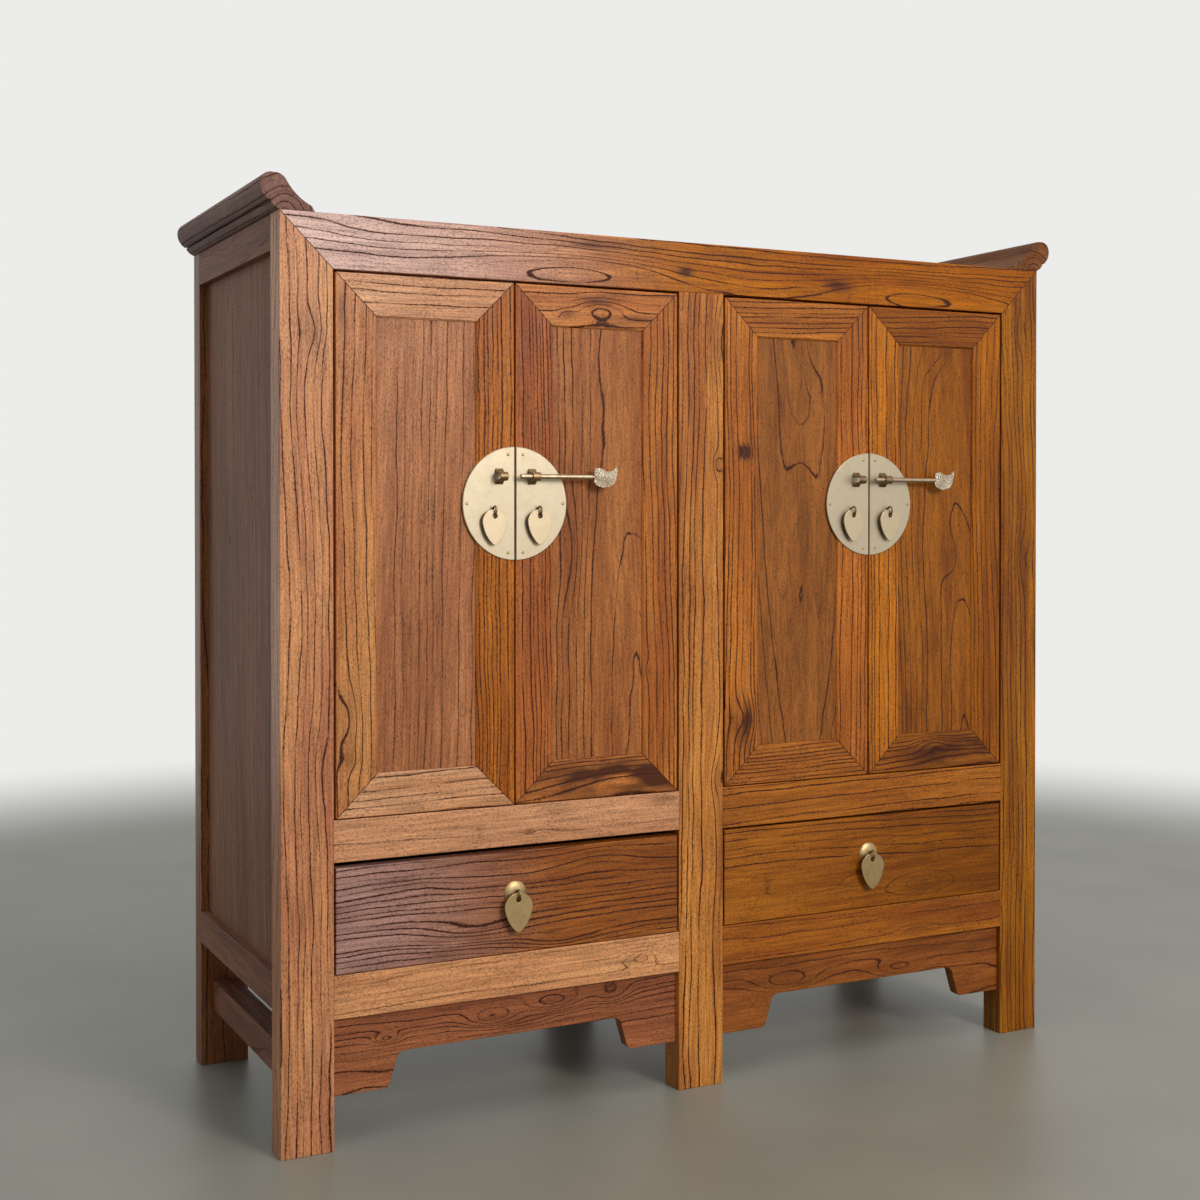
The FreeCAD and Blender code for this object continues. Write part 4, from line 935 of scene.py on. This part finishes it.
post_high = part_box("front_right_post")[1]
MITRED = ("front_left_post", "front_right_post", "top_front_rail")
for count, (node, look) in enumerate({**POSTS, **RAILS, **TOP_AND_SIDES, **DRAWER_FRONTS}.items()):
    heart = heart_of(node, look.pop("off"))
    seam = (0, 0, post_high.x, post_high.z) if node in MITRED else None
    dress(node, elm(f"oiled_elm_{node}", heart=heart, seed=count * 1.7, seam=seam, **look))
print(len(bpy.data.materials), "materials")

# %% [markdown]
# ## Dressing the doors
# The heart of a stile's log lies out beyond the door's edge and that of a
# rail high above it, so their lines run straight.

# %% Dress the doors
for number, looks in DOOR_BOARDS.items():
    side = DOORS[number]
    stiles, rails, panel = (f"door_{number}_{part}" for part in looks)
    low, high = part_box(stiles)
    middle, half = (low + high) / 2, (high - low) / 2
    seam = (middle.x, middle.z, half.x, half.z)
    heart = heart_of(stiles, (-190 * side, -10, 0))
    dress(stiles, elm(f"oiled_elm_{stiles}", "Z", heart, tilt=(0.3, 0.5 * side), seed=number * 5.1,
                      seam=seam, **looks["stiles"]))
    heart = heart_of(rails, (0, 50, 420))
    dress(rails, elm(f"oiled_elm_{rails}", "X", heart, tilt=(0.8, 0.9), seed=number * 3.3,
                     seam=seam, **looks["rails"]))
    heart = heart_of(panel, looks["panel"].pop("off"))
    dress(panel, elm(f"oiled_elm_{panel}", "Z", heart, seed=number * 2.9, **looks["panel"]))
print(len(bpy.data.materials), "materials")

# %% [markdown]
# ## Bare inner wood
# The boards inside never got stain or wax. They are the same timber left
# bare, paler, greyer and dull, so the same recipe serves with quieter colours
# and a rough face.

# %% Inner boards
BARE = dict(honey="#A98460", red="#8F6A49", line="#5E4029", plum="#7A5A42", strength=0.7, gloss=0.62,
            ring=10, tilt=(0.8, 0.6))
INNER = {
    "back_panels": ("Z", (60, 80, 0)),
    "back_rails": ("X", (0, 60, 200)),
    "partition": ("Z", (60, 40, 0)),
    "cupboard_floors": ("X", (0, 50, -90)),
    "shelves": ("X", (0, 60, -110)),
    "inner_battens": ("Y", (0, 0, 150)),
    "left_drawer_box": ("Y", (60, 0, -600)),
    "right_drawer_box": ("Y", (80, 0, -640)),
}
for count, (node, (along, off)) in enumerate(INNER.items()):
    dress(node, elm(f"bare_elm_{node}", along, heart_of(node, off), seed=count * 2.3, **BARE))
print(len(INNER), "inner nodes")

# %% [markdown]
# ## Flanges at the ends
# The top turns up at both ends into a roll with a small bead under it. The
# solid has that outline. On the real one a plane cut a deep groove between
# roll and bead, called a quirk, which shows as a black line. A new profile
# could be drawn and extruded, but the solid is exact, so a copy is cleaned,
# the long edge between roll and bead is bevelled in two, and the line in the
# middle is pushed in. Years of dusting have rounded the ends.

# %% Flanges
QUIRK_IN, QUIRK_UP = 11.7, 9.85  # from the flange's rim and from its foot, in mm
QUIRK_HALF, QUIRK_DEPTH = 1.3, 3.2
QUIRK_WAY = (0.85, 0.5)  # inwards and upwards
QUIRK_NEAR = 0.7  # an edge this close to the place above is the one


def model_flange(node, side):
    """A flange with a quirk, from a copy of the solid."""
    low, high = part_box(node)
    flange = copy_of(frame["nodes"][node], "flange")
    face_out(flange)
    dissolve(flange, angle=1)
    across = (high.x if side > 0 else low.x) - side * QUIRK_IN * MM
    up = low.z + QUIRK_UP * MM

    def in_corner(middle, edge):
        length = abs(edge.verts[0].co.y - edge.verts[1].co.y)
        return length > 0.1 and math.hypot(middle.x - across, middle.z - up) < QUIRK_NEAR * MM

    edit(flange)
    found = pick(flange, "edges", in_corner)
    bpy.ops.mesh.bevel(offset=QUIRK_HALF * MM, segments=2)
    pushed = pick(flange, "edges", in_corner)
    inwards, upwards = QUIRK_WAY
    way = (-side * inwards * QUIRK_DEPTH * MM, 0, upwards * QUIRK_DEPTH * MM)
    bpy.ops.transform.translate(value=way)
    print("quirk edges", found, pushed)
    ease(flange, width=0.7, segments=3, angle=65)
    return flange


for side_name, side in (("left", -1), ("right", 1)):
    node = f"{side_name}_flange"
    look = frame["nodes"][node].data.materials[0]
    finish(model_flange(node, side), f"{side_name}_roll", "carcass", look, "elm", node)

# %% [markdown]
# ## Pale brass
# The face plates are yellow brass, rubbed matt and gone slightly grey with
# age, so they look cream rather than gold. Brass is a metal: its colour tints
# what it mirrors, and its roughness spreads that mirror image into a soft
# sheen. Fine rubbing marks and cloudy tarnish keep it from looking like
# plastic.

# %% Brass material
CLOUDS, SPOTS, MARKS, PITS = 70.0, 420.0, 1100.0, 640.0  # about 14, 2.4, 0.9 and 1.6 mm
MARK_DEPTH = 0.06  # mm


def brass(name, tint, tarnish, rough, stipple=0.0, cloudy=0.8):
    """Satin brass. Stipple is the depth of hammered pits in mm."""
    made, tree = new_material(name)
    place = add(tree, "TexCoord", {}, output=3)
    cloud = noise(tree, place, CLOUDS, 4.0)
    cloud = ramp(tree, cloud, [(0.42, 0.0), (0.72, cloudy)])
    colour = mix(tree, cloud, linear(tint), linear(tarnish))
    spots = noise(tree, place, SPOTS, 2.0)
    spots = ramp(tree, spots, [(0.66, 0.0), (0.78, 0.35)])
    colour = mix(tree, spots, colour, linear("#7A6442"))
    rubbed = vector(tree, "MULTIPLY", place, (1, 1, 0.25))
    marks = noise(tree, rubbed, MARKS, 2.0)
    fine = add(tree, "Bump", {"Height": marks, "Distance": MARK_DEPTH * MM, "Strength": 0.5})
    if stipple:
        dots = add(tree, "TexVoronoi", {"Vector": place, "Scale": PITS})
        dents = {"Height": dots, "Distance": stipple * MM, "Strength": 0.9, "Normal": fine}
        fine = add(tree, "Bump", dents)
        pits = ramp(tree, dots, [(0.25, 0.55), (0.6, 0.0)])
        colour = mix(tree, pits, colour, linear("#5A4C38"))
    sheen = maths(tree, "MULTIPLY_ADD", cloud, 0.12, rough)
    metal = add(tree, "BsdfPrincipled", {"Base Color": colour, "Metallic": 1.0, "Roughness": sheen,
                                         "Normal": fine})
    add(tree, "OutputMaterial", {"Surface": metal})
    return made


plate_brass = brass("rubbed_pale_brass", "#B6AA92", "#A4967D", 0.42, cloudy=0.3)
pull_brass = brass("cast_pale_brass", "#BFAF92", "#A89876", 0.4, cloudy=0.3)
drawer_brass = brass("worn_yellow_brass", "#B29A70", "#94794C", 0.4, cloudy=0.6)
rod_brass = brass("drawn_brass_rod", "#B9A68A", "#8C7858", 0.34)
guide_brass = brass("bronzed_brass_strip", "#957C5A", "#5E4A32", 0.36)
pin_brass = brass("dark_pivot_brass", "#3A2E22", "#241A12", 0.6)
leaf_brass = brass("stippled_old_brass", "#B8AD98", "#877A62", 0.4, stipple=0.6)
for number in DOORS:
    dress(f"door_{number}_plate", plate_brass)
print("brass ready")

# %% [markdown]
# ## Nails of the plates
# Three flat nails hold each plate. A nail head is a low disc, hammered a
# little round. It starts as a cylinder, its front is drawn in for the crown
# and its rim is rounded, and a short shank goes back through the plate.

# %% Nails
NAIL_HEAD, NAIL_CROWN, NAIL_HEIGHT = 2.1, 1.2, 0.9  # radii of rim and crown, in mm
NAIL_STEP, NAIL_SHANK = 1.3, 3  # the head's step in to the shank, and the shank's length
NAIL_PLACES = ((10.2, 61.7), (66, 0), (10.2, -61.7))  # out from the meeting line, up from the middle


def model_nail():
    """One nail for the plate of door 2, at its first place."""
    out, up = NAIL_PLACES[0]
    nail = new_cylinder(
        sides=28,
        radius=NAIL_HEAD * MM,
        length=NAIL_HEIGHT * MM,
        place=(meeting[2] + out * MM, front - (PLATE_THICKNESS + NAIL_HEIGHT / 2) * MM, plate_z + up * MM),
        turn=(90, 0, 0),
    )
    edit(nail)
    pick(nail, "faces", towards("y", -1))
    bpy.ops.transform.resize(value=(NAIL_CROWN / NAIL_HEAD,) * 3)
    pick(nail, "faces", towards("y", 1))
    bpy.ops.mesh.inset(thickness=NAIL_STEP * MM)
    draw_on(0, NAIL_SHANK * MM, 0)
    bpy.ops.transform.resize(value=(0.5, 1, 0.5))
    ease(nail, width=0.25, segments=3, angle=25)
    return nail


first_nail = model_nail()
for number, side in DOORS.items():
    nails = []
    for out, up in NAIL_PLACES:
        across = meeting[number] + side * out * MM - meeting[2] - NAIL_PLACES[0][0] * MM
        nails.append(copy_at(first_nail, across, (up - NAIL_PLACES[0][1]) * MM))
    finish_on_door(join(nails), number, "nails", drawer_brass, "brass")
bpy.data.objects.remove(first_nail)

# %% [markdown]
# ## Wire eyes
# Each pull hangs on a loop of thick wire whose two legs go back through the
# door. A ring gives the loop. Its back is cut open, and the two ends are
# drawn towards each other and into the plate, which is how the wire runs.

# %% Eyes
EYE_OFFSET = 31  # out from the meeting line, in mm
EYE_CUT = 0.62  # the ring is open from this share of its radius
EYE_LEGS = ((0.55, 0, 1.35), (0.45, 0, 0.75), (0, 1.2, 0.15))  # share of the way back, mm back, mm in


def model_eye(across, deep, up, ground):
    """A wire loop around a point, with legs that reach past the ground behind it."""
    take(None)
    bpy.ops.mesh.primitive_torus_add(
        location=(across, deep, up),
        rotation=(0, math.radians(90), 0),
        major_radius=EYE_RADIUS * MM,
        minor_radius=EYE_WIRE * MM,
        major_segments=56,
        minor_segments=18,
    )
    eye = bpy.context.object
    settle(eye)
    edit(eye)
    pick(eye, "faces", lambda middle, flat: middle.y > deep + EYE_CUT * EYE_RADIUS * MM)
    bpy.ops.mesh.delete(type="FACE")
    reach = ground - deep - EYE_CUT * EYE_RADIUS * MM
    for side in (-1, 1):
        pick(eye, "edges", lambda middle, edge: edge.is_boundary and (middle.z - up) * side > 0)
        for share, back, inward in EYE_LEGS:
            draw_on(0, share * reach + back * MM, -side * inward * MM)
        bpy.ops.mesh.edge_face_add()
    face_out(eye)
    return eye


first_across = meeting[2] + EYE_OFFSET * MM
first_eye = model_eye(first_across, eye_y, eye_z, front - PLATE_THICKNESS * MM)
for number, side in DOORS.items():
    eye = copy_at(first_eye, meeting[number] + side * EYE_OFFSET * MM - first_across)
    finish_on_door(eye, number, "eye", guide_brass, "dark_brass")
bpy.data.objects.remove(first_eye)

# %% [markdown]
# ## Bolt guides
# A guide is a strip of brass bent over the bolt: a round front, two flanks
# and two feet that spread on the plate. It could be cut from a block, but a
# strip is how it is made. So an open tube is cut in half, its two edges are
# drawn back to the plate in steps, and the sheet gets its wall at the end.

# %% Guides
GUIDE_RADIUS, GUIDE_WALL, GUIDE_LENGTH = 5.57, 2.3, 11
GUIDE_FOOT, GUIDE_OFFSET = 10.2, 17  # half the feet's spread, and out from the meeting line
GUIDE_BENDS = ((0.4, 0.0), (0.7, 0.16), (0.88, 0.55), (1, 1.0))  # shares of the way back and of the spread


def model_guide(left):
    """A guide whose left end lies at a given place across."""
    deep = front - BOLT_STAND * MM
    depth = front - PLATE_THICKNESS * MM - deep
    guide = new_cylinder(
        sides=64,
        radius=GUIDE_RADIUS * MM,
        length=GUIDE_LENGTH * MM,
        place=(left + GUIDE_LENGTH / 2 * MM, deep, bolt_z),
        turn=(0, 90, 0),
        ends="NOTHING",
    )
    edit(guide)
    pick(guide, "faces", lambda middle, flat: middle.y > deep)
    bpy.ops.mesh.delete(type="FACE")

    def on_side(middle, edge, side):
        long = abs(edge.verts[0].co.x - edge.verts[1].co.x) > GUIDE_LENGTH / 2 * MM
        return edge.is_boundary and long and (middle.z - bolt_z) * side > 0

    for side in (-1, 1):
        pick(guide, "edges", lambda middle, edge: on_side(middle, edge, side))
        gone, spread = 0.0, 0.0
        for back, share in GUIDE_BENDS:
            outward = side * (share - spread) * (GUIDE_FOOT - GUIDE_RADIUS) * MM
            draw_on(0, back * depth - gone, outward)
            gone, spread = back * depth, share
    face_out(guide)
    modify(guide, "SOLIDIFY", thickness=GUIDE_WALL * MM, offset=-1, use_even_offset=True)
    ease(guide, width=0.4, segments=3, angle=50)
    return guide


first_left = meeting[2] + GUIDE_OFFSET * MM
first_guide = model_guide(first_left)
for number, side in DOORS.items():
    left = meeting[number] + (GUIDE_OFFSET if side > 0 else -GUIDE_OFFSET - GUIDE_LENGTH) * MM
    finish_on_door(copy_at(first_guide, left - first_left), number, "guide", guide_brass, "dark_brass")
bpy.data.objects.remove(first_guide)

# %% [markdown]
# ## Pivot pins
# No hinge shows. A round pin at the top and bottom of each door turns in a
# hole in the rail. Only its rounded end ever shows, when a door stands open.

# %% Pivots
PIVOT_RADIUS, PIVOT_ROUND = 4, 1.2
PIVOT_SUNK = 4  # how deep a pin sits in the door


def model_pivot(across, deep, low, high, tip):
    """A pin between two heights, rounded at the end that tip names, 1 for the upper one."""
    middle = (across, deep, (low + high) / 2)
    pin = new_cylinder(sides=32, radius=PIVOT_RADIUS * MM, length=high - low, place=middle)
    edit(pin)
    pick(pin, "faces", towards("z", tip))
    bpy.ops.mesh.bevel(offset=PIVOT_ROUND * MM, segments=4)
    take(pin)
    return pin


def hinge_place(number):
    """Where the axis of a door's hinge stands."""
    return next(joint["pos_m"] for joint in frame["joints"] if joint["name"] == f"door_{number}_hinge")


across, deep, _ = hinge_place(1)
low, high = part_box("door_1_hardware")
lower = model_pivot(across, deep, low.z, door_low.z + PIVOT_SUNK * MM, -1)
upper = model_pivot(across, deep, door_high.z - PIVOT_SUNK * MM, high.z, 1)
first_pins = join([lower, upper])
for number in DOORS:
    pins = copy_at(first_pins, hinge_place(number)[0] - across)
    finish_on_door(pins, number, "pivots", pin_brass, "dark_brass")
bpy.data.objects.remove(first_pins)

# %% [markdown]
# ## Leaves of the bolts
# A bolt is a drawn rod that ends in a flat leaf, hammered from the same
# metal. The solid has the leaf's exact outline, so a copy of it is cleaned,
# its rod is cut off, and the leaf gets a rounded edge.

# %% Leaves
LEAF_LENGTH, LEAF_NECK = 37, 3.4  # the neck is what the rod runs into


def model_leaf(node):
    """The flat leaf of a bolt, from a copy of the solid."""
    leaf = copy_of(frame["nodes"][node], "leaf")
    face_out(leaf)
    edit(leaf, "VERT", "SELECT")
    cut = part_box(node)[1].x - (LEAF_LENGTH - LEAF_NECK) * MM
    bpy.ops.mesh.bisect(plane_co=(cut, 0, 0), plane_no=(1, 0, 0), use_fill=True, clear_inner=True)
    take(leaf)
    dissolve(leaf, angle=1.5)
    ease(leaf, width=0.5, segments=4, angle=50)
    return leaf


BOLTS = ("left_bolt", "right_bolt")
for bolt in BOLTS:
    finish(model_leaf(bolt), f"{bolt}_leaf", bolt, leaf_brass, "dark_brass", bolt)

# %% [markdown]
# ## Rods of the bolts
# The rod is a cylinder. Its tip is rounded, and at the other end it narrows,
# swells to a small collar and runs on into the leaf's neck, drawn out ring by
# ring.

# %% Rods
BOLT_RADIUS, TIP_ROUND = 3.1, 0.9
COLLAR = ((0.6, 1.0), (0.5, 0.72), (0.9, 1.0), (0.5, 1.12), (1.1, 1.0), (2.2, 0.55))  # mm on, size


def model_rod(node):
    """The round rod of a bolt, with a collar before the leaf."""
    low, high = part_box(node)
    root = high.x - LEAF_LENGTH * MM
    rod = new_cylinder(
        sides=40,
        radius=BOLT_RADIUS * MM,
        length=root - low.x,
        place=((low.x + root) / 2, front - BOLT_STAND * MM, bolt_z),
        turn=(0, 90, 0),
    )
    edit(rod)
    pick(rod, "faces", towards("x", -1))
    bpy.ops.mesh.bevel(offset=TIP_ROUND * MM, segments=4)
    pick(rod, "faces", towards("x", 1))
    for forward, size in COLLAR:
        draw_on(forward * MM, 0, 0)
        bpy.ops.transform.resize(value=(1, size, size))
    ease(rod, width=0.15, segments=2, angle=30)
    return rod


first_rod = model_rod(BOLTS[0])
first_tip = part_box(BOLTS[0])[0].x
for bolt in BOLTS:
    rod = copy_at(first_rod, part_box(bolt)[0].x - first_tip)
    finish(rod, f"{bolt}_rod", bolt, rod_brass, "brass", bolt)
bpy.data.objects.remove(first_rod)

# %% [markdown]
# ## Drop pulls
# A pull is a flat pointed drop cut from thick sheet, with a filed edge. The
# solid's outline is exact, so a copy of it is cleaned of its triangles and
# every sharp edge is rounded.


# %% Pulls
def model_pull(node):
    """A drop pull, from a copy of the solid."""
    pull = copy_of(frame["nodes"][node], "drop")
    face_out(pull)
    dissolve(pull, angle=1.5)
    ease(pull, width=0.45, segments=4, angle=50)
    return pull


for number in DOORS:
    pull = f"door_{number}_pull"
    finish(model_pull(pull), f"door_{number}_drop", pull, pull_brass, "brass", pull)
for side_name in ("left", "right"):
    pull = f"{side_name}_drawer_pull"
    finish(model_pull(pull), f"{side_name}_drawer_drop", pull, drawer_brass, "brass", pull)

# %% [markdown]
# ## Rosettes of the drawers
# Behind each drawer pull sits a small dome, pressed from thin brass, with
# grooves that run out from its middle like the ribs of a shell. A ball gives
# the dome. It is halved and flattened, every fourth line from pole to rim is
# pressed in, and the rim is turned back to the wood.

# %% Rosettes
ROSETTE_RADIUS, ROSETTE_HEIGHT = 15.2, 4.5
RIBS = 28
GROOVE_FROM, GROOVE_TO = 0.22, 0.93  # shares of the radius
GROOVE_PRESS = (0.965, 0.93, 0.965)


def model_rosette(across, deep, up):
    """A ribbed dome that stands on the drawer front."""
    take(None)
    bpy.ops.mesh.primitive_uv_sphere_add(
        segments=4 * RIBS,
        ring_count=32,
        radius=ROSETTE_RADIUS * MM,
        location=(0, 0, 0),
        rotation=(math.radians(90), 0, 0),
    )
    dome = bpy.context.object
    settle(dome)
    edit(dome)
    pick(dome, "faces", lambda middle, flat: middle.y > 0)
    bpy.ops.mesh.delete(type="FACE")

    def in_groove(middle, corner):
        out = math.hypot(middle.x, middle.z) / (ROSETTE_RADIUS * MM)
        turn = math.degrees(math.atan2(middle.z, middle.x)) % (360 / RIBS)
        return GROOVE_FROM < out < GROOVE_TO and min(turn, 360 / RIBS - turn) < 1

    grooves = pick(dome, "verts", in_groove)
    bpy.ops.transform.resize(value=GROOVE_PRESS)
    bpy.ops.mesh.select_all(action="SELECT")
    bpy.ops.transform.resize(value=(1, ROSETTE_HEIGHT / ROSETTE_RADIUS, 1), center_override=(0, 0, 0))
    pick(dome, "edges", lambda middle, edge: edge.is_boundary)
    draw_on(0, 0.3 * MM, 0)
    bpy.ops.transform.resize(value=(0.97, 1, 0.97))
    bpy.ops.mesh.edge_face_add()
    bpy.ops.mesh.select_all(action="SELECT")
    bpy.ops.transform.translate(value=(across, deep, up))
    face_out(dome)
    print("grooved points", grooves)
    return dome


EYE_SUNK = 0.8  # the eye's legs end this far inside the dome's top, in mm
fittings = {side_name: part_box(f"{side_name}_drawer_fitting") for side_name in ("left", "right")}
middles = {side_name: (low + high) / 2 for side_name, (low, high) in fittings.items()}
first = middles["left"]
eye_deep = front - (ROSETTE_HEIGHT + EYE_RADIUS + EYE_WIRE) * MM
first_dome = model_rosette(first.x, front, first.z)
first_eye = model_eye(first.x, eye_deep, first.z, front - (ROSETTE_HEIGHT - EYE_SUNK) * MM)
for side_name, middle in middles.items():
    fitting, drawer = f"{side_name}_drawer_fitting", f"{side_name}_drawer"
    way = (middle.x - first.x, middle.z - first.z)
    finish(copy_at(first_dome, *way), f"{side_name}_rosette", drawer, drawer_brass, "brass", fitting)
    finish(copy_at(first_eye, *way), f"{side_name}_drawer_eye", drawer, guide_brass, "dark_brass", fitting)
bpy.data.objects.remove(first_dome)
bpy.data.objects.remove(first_eye)

# %% [markdown]
# ## Background
# The cabinet stands on a plain pale floor that runs up into a pale wall, as
# on a photographer's paper sweep. The wall is only a background, so its
# colour shows where the camera or a mirror-like or clear surface looks, and
# it casts no light on the cabinet.

# %% Rays that see the background
WALL = linear("#ECECEA")


def seen_straight(tree):
    """1 for a ray that looks at the background, 0 for one that gathers light."""
    path = tree.nodes.new("ShaderNodeLightPath").outputs
    seen = maths(tree, "MAXIMUM", path["Is Camera Ray"], path["Is Glossy Ray"])
    return maths(tree, "MAXIMUM", seen, path["Is Transmission Ray"])


print("wall in linear light", [round(v, 3) for v in WALL])

# %% [markdown]
# ## Floor
# The floor is smooth and pale, with faint patches. A few steps away it fades
# into the colour of the wall.

# %% Floor
FADE_FROM, FADE_TO = 1.9, 3.2  # metres from the cabinet's middle
floor_look, tree = new_material("pale_floor")
place = add(tree, "TexCoord", {}, output=3)
patches = noise(tree, place, 3.0, 5.0)  # about 300 mm
patches = ramp(tree, patches, [(0.35, 0.0), (0.7, 1.0)])
colour = mix(tree, patches, linear("#8A8A7D"), linear("#959587"))
surface = add(tree, "BsdfPrincipled", {"Base Color": colour, "Roughness": 0.42})
sweep = add(tree, "Emission", {"Color": WALL, "Strength": 1.0})
away = vector(tree, "LENGTH", place)
away = spread(tree, away, FADE_FROM, FADE_TO, smooth=True)
fade = maths(tree, "MULTIPLY", away, seen_straight(tree))
both = add(tree, "MixShader", {0: fade, 1: surface, 2: sweep})
add(tree, "OutputMaterial", {"Surface": both})

take(None)
bpy.ops.mesh.primitive_plane_add(size=24, location=(0, 0, 0))
floor = bpy.context.object
floor.name = "studio_floor"
settle(floor)
floor.data.materials.append(floor_look)
print("floor", floor.name)

# %% [markdown]
# ## Room
# The even light of the room comes from all sides. It is what keeps the
# shaded side from going black.

# %% World
world = bpy.data.worlds.new("pale_room")
bpy.context.scene.world = world
world.use_nodes = True
tree = world.node_tree
tree.nodes.clear()
room = add(tree, "Background", {"Color": linear("#E8EAEE"), "Strength": 0.36})
wall = add(tree, "Background", {"Color": WALL, "Strength": 1.0})
both = add(tree, "MixShader", {0: seen_straight(tree), 1: room, 2: wall})
add(tree, "OutputWorld", {"Surface": both})
print("world", world.name)

# %% [markdown]
# ## Lamps
# The light is soft and plain: a tall lamp at the front right and a weaker one
# high up. The left side turns away from the first and stays darker.


# %% Lamps
def add_lamp(name, place, aim, size, power, tint):
    """A soft lamp of a width and height that looks at a point."""
    take(None)
    turn = (Vector(aim) - Vector(place)).to_track_quat("-Z", "Y").to_euler()
    bpy.ops.object.light_add(type="AREA", location=place, rotation=turn)
    lamp = bpy.context.object
    lamp.name = name
    lamp.data.shape = "RECTANGLE"
    lamp.data.size, lamp.data.size_y = size
    lamp.data.energy = power
    lamp.data.color = linear(tint)[:3]


add_lamp("front_lamp", (0.7, -3.8, 2.1), (0, 0, 0.6), (1.0, 1.3), 84, "#FFF6F0")
add_lamp("high_lamp", (-0.2, -1.6, 3.6), (0, 0, 0.4), (2.4, 2.4), 34, "#F6F8FF")
bpy.context.scene.view_settings.view_transform = "Standard"
print("lamps", [light.name for light in bpy.data.lights])
